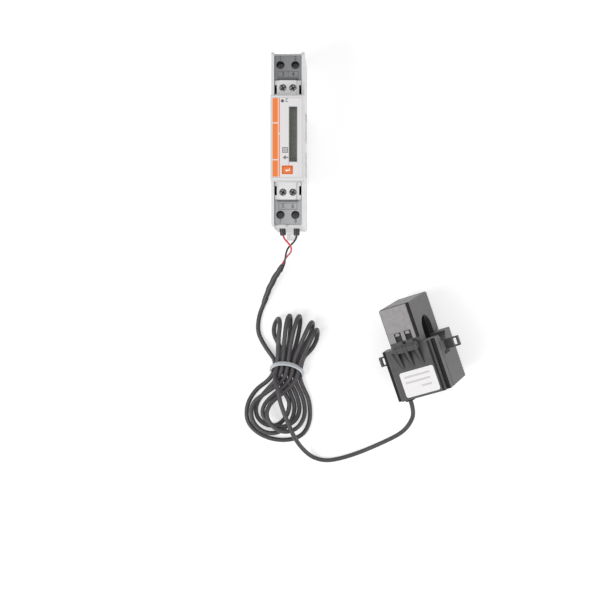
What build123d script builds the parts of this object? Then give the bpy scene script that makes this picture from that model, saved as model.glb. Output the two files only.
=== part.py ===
from build123d import *
import math
import os

# One-module energy meter lying on its back, its split-core current transformer and the lead between them.
# Millimetres. X runs across the module, Y towards its upper end, Z out of its front.
# The origin is the centre of the face that seats on the mounting rail.

# Clearances
fit_gap = 0.3
running_gap = 0.1
face_gap = 0.05
# How far a cutting shape stands past the surface it cuts
past = 1.0

# Meter case
module_width = 17.8
case_length = 94.0
shoulder_height = 47.5
nose_length = 45.0
nose_front = 57.5
nose_seam = 49.0
side_wall = 1.6
end_wall = 1.3
foot_depth = 7.2
case_corner = 2.2
end_setback = 0.6
end_wall_top = 44.5
notch_half = 1.6
cover_wall = 1.4
cover_plate = 1.6
cover_lip = 1.4
half_width = module_width / 2
half_length = case_length / 2
half_nose = nose_length / 2
inner_half = half_width - side_wall
table = -foot_depth

# Rail recess for a 35 mm top-hat rail with a 1 mm flange
rail_width = 35.0
rail_flange = 1.0
rail_play = 0.4
hook_reach = 1.2
hook_thickness = 2.0
half_recess = rail_width / 2 + rail_play

# Rail clip
clip_half = 3.6
clip_flange = 1.2
clip_flange_height = 1.5
clip_thickness = 3.4
clip_overhang = 4.6
clip_tip_half = 1.6
clip_tip_wall = 1.4
clip_slot_width = 2.4
clip_slot_start = 1.0
clip_travel = 3.5
hook_root = 1.0
hook_chamfer = 1.0
clip_flange_start = 2.0
clip_flange_end = 3.0

# Terminals: a large pair at each end and a small pair beside the nose
grey_end = half_length - 2.2
signal_length = 9.7
grey_inner = half_nose + signal_length
grey_drop = 0.8
block_floor = 17.0
main_pitch = 8.0
main_y = half_length - 7.0
main_hole = 4.5
main_head = 3.9
main_head_top = 40.5
main_thread = 3.0
entry_height = 26.0
entry_hole = 4.2
cage_width = 5.8
cage_depth = 6.0
cage_wall = 1.1
cage_height = 10.0
cage_rise = 3.4
signal_floor = 34.5
signal_pitch = 5.3
signal_y = half_nose + 5.4
signal_hole = 3.9
signal_head = 3.4
signal_head_top = 44.6
signal_thread = 2.0
signal_cage_width = 4.2
signal_cage_depth = 4.4
signal_cage_height = 5.0
signal_cage_wall = 0.8
signal_rise = 1.4
signal_plateau = 9.6
signal_drop = 1.6
plateau_bevel = 0.56
seal_slot_width = 1.2
seal_slot_length = 4.9
seal_slot_x = 6.55
seal_slot_y = half_nose + 4.5
signal_head_height = 1.5
main_head_height = 2.2
slit_half = 5.7
slit_width = 1.0
slit_depth = 9.0
bar_thickness = 1.0
bar_half = 1.6
signal_bar_thickness = 0.8
signal_bar_half = 0.7
signal_wire_half = 1.2
signal_base_wall = 1.0
right_contact = 4.0
left_contact = 1.5
contact_foot = 2.6
slot_share = 0.2
slot_reach_share = 0.36
slot_depth_share = 0.5

# Ferrules on the two wires
ferrule_pin = 1.1
ferrule_sleeve = 3.3
ferrule_sleeve_start = half_length - 3.4
ferrule_sleeve_end = half_length + 3.2
ferrule_pin_reach = 9.4
ferrule_pin_start = half_length - ferrule_pin_reach

# Nose face
film_thickness = 0.2
film_margin = 0.9
lcd_x = 3.15
lcd_y = 1.8
lcd_width = 4.3
lcd_end_room = 8.0
lcd_length = nose_length - 2 * lcd_end_room
window_lip = 0.8
window_thickness = 1.0
lamp_x = -2.45
lamp_y = half_nose - 3.2
lamp_hole = 1.7
button_x = 0.15
button_y = -half_nose + 5.5
button_width = 5.2
button_length = 3.9
button_proud = 0.7
button_flange = 0.8
button_stroke = 0.5

# Boards
board_thickness = 1.6
display_board_top = 50.6
display_board_half = half_nose - 1.9
display_board_width = 12.8
main_board_x = -5.1
main_board_low = 8.0
main_board_high = 45.0
main_board_end_room = 17.0
main_board_half = half_length - main_board_end_room

# Side label
side_label_thickness = 0.15
side_label_end_room = 3.5
side_label_half = half_nose - side_label_end_room
side_label_low = 12.0
side_label_high = 44.0

# Case rivets
rivet = 2.0
rivet_head = 3.0
rivet_head_depth = 0.6
outer_rivet_y = half_length - 4.7
outer_rivet_z = 1.0
inner_rivet_inset = 13.0
inner_rivet_y = half_length - inner_rivet_inset
inner_rivet_z = 11.5
boss_wall = 1.5

# Nose cover
cover_edge = 0.8
cover_skirt = 4.0
post = 1.6
post_x = 5.6
post_y = half_nose - 4.1
button_round = 0.5
button_stem = 2.0
switch_half = 2.6
switch_half_length = 1.8
switch_body_height = 2.0
switch_plunger = 0.7
cell_width = 7.2
cell_length = lcd_length + 2.0
cell_thickness = 1.6
lamp_body = 2.0
lamp_height = 2.0

# Main board's parts
main_board_step = 33.8
main_board_neck = half_nose - 1.5
board_post = 3.0
board_post_y = 24.0
board_post_heights = (13.0, 29.0)
header_half = 8.0
header_reach = 1.0
transformer_height = 9.5
transformer_half = 7.0
transformer_y = -9.0
transformer_low = 9.5
capacitor = 8.0
capacitor_height = 9.5
capacitor_places = (6.0, 15.0)
capacitor_z = 18.0
varistor = 8.0
varistor_thickness = 3.5
varistor_y = -21.0
chip_height = 1.2
chip_half = 3.5
chip_places = (-11.0, 0.0, 11.0)
chip_z = 38.0

# Current transformer
ct_x = 64.2
ct_y = -110.7
ct_z = 31.3
ct_turn = 17.25
ct_roll = -22.4
ct_pitch = 4.3
ct_cap_width = 18.0
ct_cap_height = 23.0
ct_base_width = 31.6
ct_face_width = ct_base_width - 4.8
ct_base_height = 29.0
ct_depth = 33.0
ct_cap_depth = ct_depth + 0.5
ct_wall = 1.5
ct_round = 1.0
ct_edge = 0.6
ct_hole_diameter = 16.0
hole_height = 4.3
groove_depth = 0.5
groove_z = 7.5
groove_width = 0.6

# Its hinge, on the front at the parting line
hinge_out = 2.5
hinge_y = -0.4
hinge_pitch = 6.0
hinge_barrel = 4.4
hinge_pin = 1.6
rib_width = 1.6
rib_drop = 11.5
knuckle_play = 0.2
knuckle_rise = 3.0
pocket_low = 3.4
pocket_high = 8.0
pocket_depth = 1.0

# Its latch, on the back
latch_drop = 5.0
nub_height = 2.5
nub_low = 0.3
nub_high = 0.9
nub_half = 3.0
latch_half = 4.8
latch_bulge = 6.0
latch_bar = 1.6
latch_top = 6.0
latch_plate = 1.0
latch_web = 1.5
latch_rail = 1.2

# Its tie lugs, label and gland
lug_low = 4.0
lug_high = 9.5
lug_reach = 8.4
lug_thickness = 2.0
lug_rim = 1.3
lug_slot_width = 2.2
lug_slot_height = 3.8
lug_mark_depth = 0.8
lug_mark_height = 1.0
lug_mark_half = 3.0
ct_label_x = 0.6
ct_label_y = -20.6
ct_label_width = 20.3
ct_label_height = 14.2
ct_label_thickness = 0.12
ct_label_round = 1.2
cord_exit_inset = 5.6
cord_exit_x = cord_exit_inset - ct_base_width / 2
cord_exit_z = -ct_depth / 6
gland_body = 4.6
gland_flange = 5.6
gland_out = 1.2
gland_length = 2.2

# Its cores and coil
core_half = 5.5
core_margin = 2.4
core_window = ct_hole_diameter + 2 * (ct_wall + fit_gap + running_gap)
core_leg = (ct_depth - core_window) / 2 - core_margin
core_floor_room = 6.5
core_drop = ct_base_height - core_floor_room
core_face_gap = 0.1
pad_space = 2.0
pad_half = ct_hole_diameter / 2
bobbin_wall = 0.8
winding_depth = 3.2

# Lead
wire = 1.1
cord = 2.5
corner_share = 0.45
sleeve_start = (-4.4, -66.0, 3.0)
sleeve_end = (-16.0, -88.0, -5.35)
sleeve_outer = 3.6
sleeve_bore = 2.8
sleeve_lead_in = 1.0
wire_depth = 4.0
wire_offset = 0.62
red_route = [(-4.0, -53.5, 26.0), (-1.6, -55.9, 26.0), (0.8, -58.3, 23.7), (-0.1, -59.9, 15.7), (-2.7, -61.5, 4.9)]
black_route = [(4.0, -52.8, 26.0), (2.6, -55.0, 25.1), (-1.2, -57.0, 20.3), (-2.3, -59.8, 18.5),
               (-2.9, -62.5, 13.3)]
meter_lead_route = [(-14.0, -84.2, -3.91), (-16.84, -89.6, -5.95), (-18.9, -96.6, -5.95),
                    (-16.8, -103.4, -5.7), (-11.6, -107.7, -5.2)]
ct_lead_route = [(-6.4, -141.6, 4.4), (-4.2, -148.6, 4.4), (-1.0, -156.2, 4.2), (2.2, -163.6, 3.4),
                 (6.6, -170.4, -1.4), (12.2, -175.6, -5.4), (20.0, -177.6, -5.95), (29.4, -175.8, -5.95),
                 (38.8, -172.6, -5.3), (47.6, -168.6, -2.4), (55.6, -164.4, 2.6), (62.4, -160.0, 9.0),
                 (66.6, -154.6, 15.6)]

# Hank and tie
loops_per_layer = 3
strand_gap = 0.45
hank_x = -1.5
hank_y = -125.0
hank_tilt = 10.0
waist_half = 8.1
waist_straight = 3.0
hank_start = 3.0
hank_finish = 2.9
hank_lead_in = 6.5
hank_lead_out = 5.5
climb_x = -6.5
climb_y = -10.5
climb_top = 4.4
lower_run = 25.5
lower_outer = 14.8
lower_step = 4.2
upper_run = 20.6
upper_outer = 10.8
upper_step = 3.3
gap_sample = 0.5
tie_width = 1.8
tie_thickness = 0.8
tie_lean = 35.0
tie_round = 1.6
gland_run = 7.0


def block(x0, x1, y0, y1, z0, z1):
    centre = Pos((x0 + x1) / 2, (y0 + y1) / 2, (z0 + z1) / 2)
    return centre * Box(abs(x1 - x0), abs(y1 - y0), abs(z1 - z0))


def rod(x, y, z0, z1, diameter):
    return Pos(x, y, (z0 + z1) / 2) * Cylinder(diameter / 2, z1 - z0)


def rod_x(x0, x1, y, z, diameter):
    return Pos((x0 + x1) / 2, y, z) * Rot(0, 90, 0) * Cylinder(diameter / 2, abs(x1 - x0))


def rod_y(x, y0, y1, z, diameter):
    return Pos(x, (y0 + y1) / 2, z) * Rot(90, 0, 0) * Cylinder(diameter / 2, abs(y1 - y0))


def side_profile(points, x0, x1):
    face = Plane.YZ * make_face(Polyline(points, close=True))
    return Pos(x0, 0, 0) * extrude(face, x1 - x0)


def group(shapes):
    return Compound(children=list(shapes))


def save(name, shape):
    export_step(shape, f"parts/{name}.step")


# Case shells
end_signs = (1, -1)
pair_signs = (-1, 1)
rivet_places = [(sign * outer_rivet_y, outer_rivet_z) for sign in end_signs]
rivet_places += [(sign * inner_rivet_y, inner_rivet_z) for sign in end_signs]


def case_outline():
    lip = half_recess - hook_reach - rail_play
    flange_low = -rail_flange - fit_gap
    hook_low = flange_low - hook_thickness
    points = [(half_length, table), (half_length, shoulder_height), (half_nose, shoulder_height)]
    points += [(half_nose, nose_seam), (-half_nose, nose_seam), (-half_nose, shoulder_height)]
    points += [(-half_length, shoulder_height), (-half_length, table), (-half_recess, table)]
    points += [(-half_recess, 0), (half_recess, 0), (half_recess, flange_low), (lip, flange_low)]
    points += [(lip, hook_low), (half_recess, table)]
    return points


def hollow_outline():
    end = half_length - end_setback - end_wall
    recess = half_recess + end_wall
    floor = table + end_wall
    top = nose_seam + past
    points = [(end, floor), (end, top), (-end, top), (-end, floor)]
    points += [(-recess, floor), (-recess, end_wall), (recess, end_wall), (recess, floor)]
    return points


def clip_channel():
    half = clip_half + fit_gap
    top = table + clip_thickness + fit_gap
    body = block(-half, half, -half_length - past, -half_recess + past, table - past, top)
    wide = half + clip_flange
    flange_low = table + clip_thickness - clip_flange_height
    body += block(-wide, wide, -half_length - past, -half_recess + past, flange_low - fit_gap, top)
    # The hook stands up higher than the rest of the clip and draws back into this pocket
    return body + block(-half, half, hook_pocket_end(), -half_recess + past, table - past, -rail_flange)


def hook_pocket_end():
    return -half_recess - fit_gap - hook_root - clip_travel - fit_gap


def clip_tunnel_walls():
    wide = clip_half + clip_flange + fit_gap + end_wall
    roof = table + clip_thickness + fit_gap + end_wall
    tunnel = block(-wide, wide, -half_length + end_wall, -half_recess - end_wall, table, roof)
    hood = block(-wide, wide, hook_pocket_end() - end_wall, -half_recess - end_wall / 2, table,
                 -rail_flange + end_wall)
    return tunnel + hood


def case_body():
    solid = side_profile(case_outline(), -half_width, half_width)
    corners = [e for e in solid.edges().filter_by(Axis.Z) if abs(e.center().Y + half_length) < face_gap]
    solid = fillet(corners, case_corner)
    brow = [e for e in solid.edges().filter_by(Axis.X)
            if abs(e.center().Y - half_length) < face_gap and abs(e.center().Z - shoulder_height) < face_gap]
    solid = fillet(brow, case_corner)
    body = solid - side_profile(hollow_outline(), -inner_half, inner_half)
    body += clip_tunnel_walls()
    body -= clip_channel()
    for sign in end_signs:
        # The end wall stands a little inside the side walls and stops under the grey block's face
        outer = sign * (half_length + past)
        body -= block(-inner_half, inner_half, sign * (half_length - end_setback), outer, table - past, nose_seam)
        inner = sign * (half_length - end_setback - end_wall - past)
        body -= block(-inner_half, inner_half, inner, outer, end_wall_top, nose_seam)
        notch = [(-notch_half, end_wall_top), (notch_half, end_wall_top), (0, end_wall_top - notch_half)]
        wedge = extrude(Plane.XZ * make_face(Polyline(notch, close=True)), abs(outer - inner) / 2, both=True)
        body -= Pos(0, (inner + outer) / 2, 0) * wedge
        for side in pair_signs:
            body -= rod_y(side * main_pitch / 2, inner, outer, entry_height, entry_hole)
    return body


def rivet_bosses():
    bosses = [rod_x(-inner_half, inner_half, y, z, rivet + 2 * boss_wall) for y, z in rivet_places]
    for sign in end_signs:
        for z in board_post_heights:
            bosses.append(rod_x(-inner_half, main_board_x - face_gap, sign * board_post_y, z, board_post))
    return bosses


def rivet_holes():
    holes = []
    for y, z in rivet_places:
        holes.append(rod_x(-half_width - past, half_width + past, y, z, rivet + 2 * running_gap))
        for sign in pair_signs:
            inner = sign * (half_width - rivet_head_depth - fit_gap)
            outer = sign * (half_width + past)
            holes.append(rod_x(inner, outer, y, z, rivet_head + 2 * fit_gap))
    return holes


def case_shells():
    body = case_body() + rivet_bosses()
    body -= rivet_holes()
    span = half_length + past
    left = body & block(-half_width - past, 0, -span, span, table - past, nose_front)
    right = body & block(0, half_width + past, -span, span, table - past, nose_front)
    save("case_left_shell", left)
    save("case_right_shell", right)


def case_rivets():
    rivets = []
    for y, z in rivet_places:
        shank = rod_x(-half_width + face_gap, half_width - face_gap, y, z, rivet)
        for sign in pair_signs:
            inner = sign * (half_width - rivet_head_depth)
            outer = sign * (half_width - face_gap)
            shank += rod_x(inner, outer, y, z, rivet_head)
        rivets.append(shank)
    save("case_rivets", group(rivets))


# Rail clip, which slides out at the lower end
def rail_clip():
    top = table + clip_thickness
    nose_y = -half_recess + hook_reach + rail_play
    body = block(-clip_half, clip_half, -half_length, -half_recess - fit_gap, table, top)
    flange_low = top - clip_flange_height
    wide = clip_half + clip_flange
    body += block(-wide, wide, -half_length + clip_flange_start, -half_recess - clip_flange_end, flange_low, top)
    hook_top = -rail_flange - fit_gap
    root = -half_recess - fit_gap
    hook = [(root - hook_root, top), (root, hook_top), (nose_y, hook_top), (nose_y, hook_top - hook_chamfer),
            (-half_recess, table), (root - hook_root, table)]
    body += side_profile(hook, -clip_half, clip_half)
    half_slot = clip_slot_width / 2
    tip_y = -half_length - clip_overhang
    tongue = block(-clip_tip_half - half_slot, clip_tip_half + half_slot, tip_y, -half_length, table,
                   top - hook_chamfer)
    slot = block(-half_slot, half_slot, tip_y + clip_tip_wall, -half_length - clip_slot_start, table - past, top)
    return body + (tongue - slot)


# Terminals
def grey_top():
    return shoulder_height - grey_drop


def main_cage_low(clamped):
    # Height of a large cage's underside, risen when it holds a ferrule
    risen = main_bar_low() - ferrule_pin - 2 * face_gap - cage_wall
    return risen if clamped else risen - cage_rise


def main_bar_low():
    return entry_height + ferrule_pin / 2 + face_gap


def grey_block(sign):
    half = inner_half - fit_gap
    body = block(-half, half, sign * grey_inner, sign * grey_end, block_floor + fit_gap, grey_top())
    for side in pair_signs:
        x = side * main_pitch / 2
        y = sign * main_y
        half_x = cage_width / 2 + fit_gap
        half_y = cage_depth / 2 + fit_gap
        cage_low = main_cage_low(True) - cage_rise - fit_gap
        cage_high = main_cage_low(True) + cage_height + fit_gap
        body -= block(x - half_x, x + half_x, y - half_y, y + half_y, cage_low, cage_high)
        shoulder = main_head_top - main_head_height - fit_gap
        body -= rod(x, y, cage_high - past, shoulder, main_thread + 4 * running_gap)
        body -= rod(x, y, shoulder, grey_top() + past, main_hole)
        body -= rod_y(x, y, sign * (grey_end + past), entry_height, entry_hole)
        # The contact bar passes inwards through this slot
        bar_low = main_bar_low() - fit_gap
        body -= block(x - bar_half - fit_gap, x + bar_half + fit_gap, sign * (grey_inner - past), y,
                      bar_low, bar_low + bar_thickness + 2 * fit_gap)
    # A shallow slot for the signal wires, beside the white block
    body -= block(-slit_half, slit_half, sign * (grey_inner - past), sign * (grey_inner + slit_width),
                  grey_top() - slit_depth, grey_top() + past)
    return body


def white_block(sign):
    half = inner_half - fit_gap
    inner = sign * (half_nose + face_gap)
    outer = sign * (grey_inner - fit_gap)
    flank = shoulder_height - signal_drop
    body = block(-half, half, inner, outer, signal_floor, flank)
    plateau = signal_plateau / 2
    crown = block(-plateau, plateau, inner, outer, flank, grey_top())
    body += chamfer(crown.edges().filter_by(Axis.Y).group_by(Axis.Z)[-1], plateau_bevel)
    for side in pair_signs:
        x = side * signal_pitch / 2
        y = sign * signal_y
        half_x = signal_cage_width / 2 + fit_gap
        half_y = signal_cage_depth / 2 + fit_gap
        cage_low = signal_cage_base() - fit_gap
        cage_high = signal_cage_base() + signal_rise + signal_cage_height + fit_gap
        body -= block(x - half_x, x + half_x, y - half_y, y + half_y, cage_low, cage_high)
        shoulder = signal_head_top - signal_head_height - fit_gap
        body -= rod(x, y, cage_high - past, shoulder, signal_thread + 4 * running_gap)
        body -= rod(x, y, shoulder, shoulder_height + past, signal_hole)
        # The signal wire comes in from the slit, and the contact leaves towards the nose
        window_low = signal_cage_base() + signal_cage_wall
        body -= block(x - signal_wire_half, x + signal_wire_half, y, outer + sign * past,
                      window_low, window_low + signal_cage_height - 2 * signal_cage_wall)
        body -= block(x - signal_bar_half - fit_gap, x + signal_bar_half + fit_gap, y, inner - sign * past,
                      signal_bar_low() - fit_gap, signal_bar_low() + signal_bar_thickness + fit_gap)
        seal_y = sign * seal_slot_y
        seal_x = side * seal_slot_x
        body -= block(seal_x - seal_slot_width / 2, seal_x + seal_slot_width / 2,
                      seal_y - seal_slot_length / 2, seal_y + seal_slot_length / 2, signal_floor - past, flank + past)
    return body


def signal_cage_base():
    return signal_floor + signal_base_wall


def slotted_screw(x, y, top, head, head_height, thread, tip):
    # A pan head with a cross recess over a plain shank of the thread's size
    screw = rod(x, y, top - head_height, top, head) + rod(x, y, tip, top - head_height, thread)
    half_slot = head * slot_share / 2
    reach = head * slot_reach_share
    low = top - head_height * slot_depth_share
    screw -= block(x - half_slot, x + half_slot, y - reach, y + reach, low, top + past)
    screw -= block(x - reach, x + reach, y - half_slot, y + half_slot, low, top + past)
    return screw


def cage(x, y, base, width, depth, height, wall, thread):
    body = block(x - width / 2, x + width / 2, y - depth / 2, y + depth / 2, base, base + height)
    body -= block(x - width / 2 + wall, x + width / 2 - wall, y - depth, y + depth,
                  base + wall, base + height - wall)
    return body - rod(x, y, base + height - wall - past, base + height + past, thread + 2 * running_gap)


def terminal_name(kind, sign, side):
    end = "upper" if sign > 0 else "lower"
    hand = "left" if side < 0 else "right"
    return f"{end}_{hand}_{kind}"


def main_terminal(sign, side):
    x = side * main_pitch / 2
    y = sign * main_y
    tip = main_bar_low() + bar_thickness + fit_gap
    screw = slotted_screw(x, y, main_head_top, main_head, main_head_height, main_thread, tip)
    save(terminal_name("terminal_screw", sign, side), screw)
    # The lower cages are risen on their ferrules, the upper ones stand open
    base = main_cage_low(sign < 0)
    box = cage(x, y, base, cage_width, cage_depth, cage_height, cage_wall, main_thread)
    save(terminal_name("terminal_cage", sign, side), box)


def terminals():
    small_screws = []
    small_cages = []
    tip = signal_bar_low() + signal_bar_thickness + fit_gap
    for sign in end_signs:
        end = "upper" if sign > 0 else "lower"
        save(f"{end}_terminal_block", grey_block(sign))
        save(f"{end}_signal_block", white_block(sign))
        for side in pair_signs:
            main_terminal(sign, side)
            x = side * signal_pitch / 2
            y = sign * signal_y
            small_screws.append(slotted_screw(x, y, signal_head_top, signal_head, signal_head_height,
                                              signal_thread, tip))
            small_cages.append(cage(x, y, signal_cage_base(), signal_cage_width, signal_cage_depth,
                                    signal_cage_height, signal_cage_wall, signal_thread))
    save("signal_screws", group(small_screws))
    save("signal_cages", group(small_cages))


def signal_bar_low():
    return signal_cage_base() + signal_cage_wall + signal_rise + fit_gap


# Nose cover and what it carries
def cover_underside():
    return nose_front - cover_plate


def front_cover():
    body = block(-half_width, half_width, -half_nose, half_nose, nose_seam + face_gap, nose_front)
    rim = [e for e in body.edges() if e.center().Z > nose_front - face_gap]
    body = fillet(rim, cover_edge)
    inner_nose = half_nose - cover_wall
    body -= block(-inner_half, inner_half, -inner_nose, inner_nose, nose_seam - past, cover_underside())
    skirt = inner_half - fit_gap
    for sign in end_signs:
        body += block(-skirt, skirt, sign * inner_nose, sign * half_nose, nose_seam - cover_skirt, nose_seam + face_gap)
        for side in pair_signs:
            body += rod(side * post_x, sign * post_y, display_board_top, cover_underside(), post)
    film = half_width - film_margin
    length = half_nose - cover_lip
    body -= block(-film, film, -length, length, nose_front - film_thickness, nose_front + past)
    return body - nose_openings()


def nose_openings():
    high = nose_front + past
    low = cover_underside() - past
    width = lcd_width / 2
    length = lcd_length / 2
    openings = block(lcd_x - width, lcd_x + width, lcd_y - length, lcd_y + length, low, high)
    width = button_width / 2 + fit_gap
    length = button_length / 2 + fit_gap
    openings += block(button_x - width, button_x + width, button_y - length, button_y + length, low, high)
    return openings + rod(lamp_x, lamp_y, low, high, lamp_hole)


def front_film():
    film = half_width - film_margin - running_gap
    length = half_nose - cover_lip - running_gap
    sheet = block(-film, film, -length, length, nose_front - film_thickness, nose_front)
    return sheet - nose_openings()


def display_window():
    width = lcd_width / 2
    length = lcd_length / 2
    under = cover_underside()
    plug = block(lcd_x - width + running_gap, lcd_x + width - running_gap, lcd_y - length + running_gap,
                 lcd_y + length - running_gap, under - window_thickness, nose_front - film_thickness)
    flange = block(lcd_x - width - window_lip, lcd_x + width + window_lip, lcd_y - length - window_lip,
                   lcd_y + length + window_lip, under - window_thickness, under - face_gap)
    return plug + flange


def scroll_button():
    under = cover_underside() - fit_gap
    width = button_width / 2
    length = button_length / 2
    cap = block(button_x - width, button_x + width, button_y - length, button_y + length,
                under - button_flange, nose_front + button_proud)
    crown = [e for e in cap.edges() if e.center().Z > nose_front + button_proud - face_gap]
    cap = fillet(crown, button_round)
    flange = block(button_x - width - button_flange, button_x + width + button_flange,
                   button_y - length - button_flange, button_y + length + button_flange,
                   under - button_flange, under)
    stem_low = switch_top() + button_stroke + running_gap
    stem = rod(button_x, button_y, stem_low, under - button_flange, button_stem)
    return cap + flange + stem


def switch_top():
    return display_board_top + switch_body_height + switch_plunger


def display_parts():
    save("front_cover", front_cover())
    save("front_film", front_film())
    save("display_window", display_window())
    save("scroll_button", scroll_button())
    save("light_pipe", rod(lamp_x, lamp_y, lamp_top() + running_gap, nose_front - film_thickness,
                           lamp_hole - 2 * running_gap))
    save("pulse_lamp", rod(lamp_x, lamp_y, display_board_top, lamp_top(), lamp_body))
    half = display_board_width / 2
    board_low = display_board_top - board_thickness
    save("display_board", block(-half, half, -display_board_half, display_board_half, board_low, display_board_top))
    switch = block(button_x - switch_half, button_x + switch_half, button_y - switch_half_length,
                   button_y + switch_half_length, display_board_top, display_board_top + switch_body_height)
    save("push_switch", switch + rod(button_x, button_y, display_board_top, switch_top(), button_stem))
    cell_top = cover_underside() - window_thickness - running_gap
    cell_low = cell_top - cell_thickness
    cell_x = cell_width / 2
    cell_y = cell_length / 2
    save("display_cell", block(lcd_x - cell_x, lcd_x + cell_x, lcd_y - cell_y, lcd_y + cell_y, cell_low, cell_top))
    frame = block(lcd_x - cell_x, lcd_x + cell_x, lcd_y - cell_y, lcd_y + cell_y, display_board_top, cell_low)
    save("display_backlight", frame)


def lamp_top():
    return display_board_top + lamp_height


# Main board and its parts
def board_face():
    return main_board_x + board_thickness


def main_board():
    lower = block(main_board_x, board_face(), -main_board_half, main_board_half, main_board_low, main_board_step)
    upper = block(main_board_x, board_face(), -main_board_neck, main_board_neck, main_board_step, main_board_high)
    return lower + upper


def board_parts():
    save("main_board", main_board())
    face = board_face() + face_gap
    bottom = display_board_top - board_thickness - running_gap
    pins = block(main_board_x - header_reach, board_face() + header_reach, -header_half, header_half,
                 main_board_high + face_gap, bottom)
    save("board_header", pins)
    save("supply_transformer", block(face, face + transformer_height, transformer_y - transformer_half,
                                     transformer_y + transformer_half, transformer_low,
                                     transformer_low + 2 * transformer_half))
    cans = [rod_x(face, face + capacitor_height, y, capacitor_z, capacitor) for y in capacitor_places]
    save("smoothing_capacitors", group(cans))
    save("surge_varistor", rod_x(face, face + varistor_thickness, varistor_y, capacitor_z, varistor))
    chips = [block(face, face + chip_height, y - chip_half, y + chip_half, chip_z - chip_half, chip_z + chip_half)
             for y in chip_places]
    save("metering_chips", group(chips))


def contact_bar(x, half, outer, inner, low, thickness):
    bar = block(x - half, x + half, outer, inner, low, low + thickness)
    if x > 0:
        # A bar on the right turns in to the face of the board it runs beside
        foot = math.copysign(contact_foot, inner)
        bar += block(board_face() + running_gap, x + half, inner, inner + foot, low, low + thickness)
    return bar


def contact_bars():
    bars = []
    contacts = []
    for sign in end_signs:
        for side in pair_signs:
            outer = sign * (main_y + cage_depth / 2)
            inner = sign * (main_board_half - right_contact if side > 0 else main_board_half + running_gap)
            bars.append(contact_bar(side * main_pitch / 2, bar_half, outer, inner, main_bar_low(), bar_thickness))
            outer = sign * (signal_y + signal_cage_depth / 2 - signal_cage_wall)
            inner = sign * (main_board_neck - (right_contact if side > 0 else left_contact))
            contacts.append(contact_bar(side * signal_pitch / 2, signal_bar_half, outer, inner,
                                        signal_bar_low(), signal_bar_thickness))
    save("terminal_bars", group(bars))
    save("signal_contacts", group(contacts))


def side_label():
    return block(half_width, half_width + side_label_thickness, -side_label_half, side_label_half,
                 side_label_low, side_label_high)


# Current transformer, drawn in its own frame: X along the cable hole, Y towards the cap, Z out of the hinge face.
# Its origin is the middle of the hinge face's edge at the parting line.
def ct_place():
    turn = Rot(0, 0, ct_turn) * Rot(0, ct_roll, 0) * Rot(ct_pitch, 0, 0)
    return Pos(ct_x, ct_y, ct_z) * turn


def save_ct(name, shape):
    save(name, ct_place() * shape)


def hole_middle():
    return -ct_depth / 2


def hinge_z():
    return hinge_out


def knuckle_places():
    return [-hinge_pitch / 2, hinge_pitch / 2]


def rib_places():
    return [-hinge_pitch, 0, hinge_pitch]


def hinge_rib(x):
    # A rib's foot runs from the barrel down to a point on the face
    barrel = rod_x(x - rib_width / 2, x + rib_width / 2, hinge_y, hinge_z(), hinge_barrel)
    outline = [(hinge_y + 0.2, hinge_z()), (hinge_y, hinge_z() + hinge_barrel / 2), (-rib_drop, 0.4), (-rib_drop, -0.5),
               (hinge_y + 0.2, -0.5)]
    fin = side_profile(outline, x - rib_width / 2, x + rib_width / 2)
    return barrel + fin


def ct_base_shell():
    half = ct_base_width / 2
    face_half = ct_face_width / 2
    step = half - face_half
    body = block(-half, half, -ct_base_height, 0, -ct_depth, -step)
    body = fillet(body.edges().filter_by(Axis.Y).group_by(Axis.Z)[0], ct_round)
    body += block(-face_half, face_half, -ct_base_height, 0, -ct_depth / 2, 0)
    body = chamfer(body.edges().filter_by(Axis.Y).group_by(Axis.Z)[-1], ct_edge)
    inner = half - ct_wall
    low = -ct_base_height - past
    body -= block(-inner, inner, low, -trough_floor(), -ct_depth + ct_wall, -step - ct_wall)
    core_x = core_half + fit_gap
    for near, far in ((core_back(), core_back() + core_leg), (core_front() - core_leg, core_front())):
        body -= block(-core_x, core_x, -trough_floor() - past, past, near - fit_gap, far + fit_gap)
    body -= rod_x(-half - past, half + past, hole_height, hole_middle(), ct_hole_diameter)
    body -= block(-face_half + ct_wall, face_half - ct_wall, low, -trough_floor(), hole_middle(), -ct_wall)
    for x in rib_places():
        body += hinge_rib(x)
    body -= rod_x(-half, half, hinge_y, hinge_z(), hinge_pin + 2 * running_gap)
    for x in knuckle_places():
        width = hinge_pitch / 2 - rib_width / 2 - face_gap
        body -= rod_x(x - width, x + width, hinge_y, hinge_z(), hinge_barrel + 2 * fit_gap)
    for side in pair_signs:
        body += side_lug(side)
        body -= lug_marks(side)
        body -= block(side * (half - groove_depth), side * (half + past), low, past,
                      -groove_z - groove_width, -groove_z)
    body -= cord_hole()
    return body + latch_nub() - cover_seat(0)


def cord_hole():
    return rod_y(cord_exit_x, -ct_base_height - past, -ct_base_height + gland_length, cord_exit_z,
                 gland_body + 2 * face_gap)


def trough_floor():
    return ct_hole_diameter / 2 - hole_height + ct_wall


def core_back():
    return hole_middle() - core_window / 2 - core_leg


def core_front():
    return hole_middle() + core_window / 2 + core_leg


def side_lug(side):
    # A tie lug standing out of a pocket in the side wall
    half = ct_base_width / 2
    tip = half + lug_reach
    plate = block(side * (half - lug_mark_depth), side * tip, -lug_high, -lug_low,
                  hole_middle() - lug_thickness / 2, hole_middle() + lug_thickness / 2)
    middle = (lug_low + lug_high) / 2
    slot = block(side * (tip - lug_rim), side * (tip - lug_rim - lug_slot_width), -middle - lug_slot_height / 2,
                 -middle + lug_slot_height / 2, -ct_depth, 0)
    return plate - slot


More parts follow.
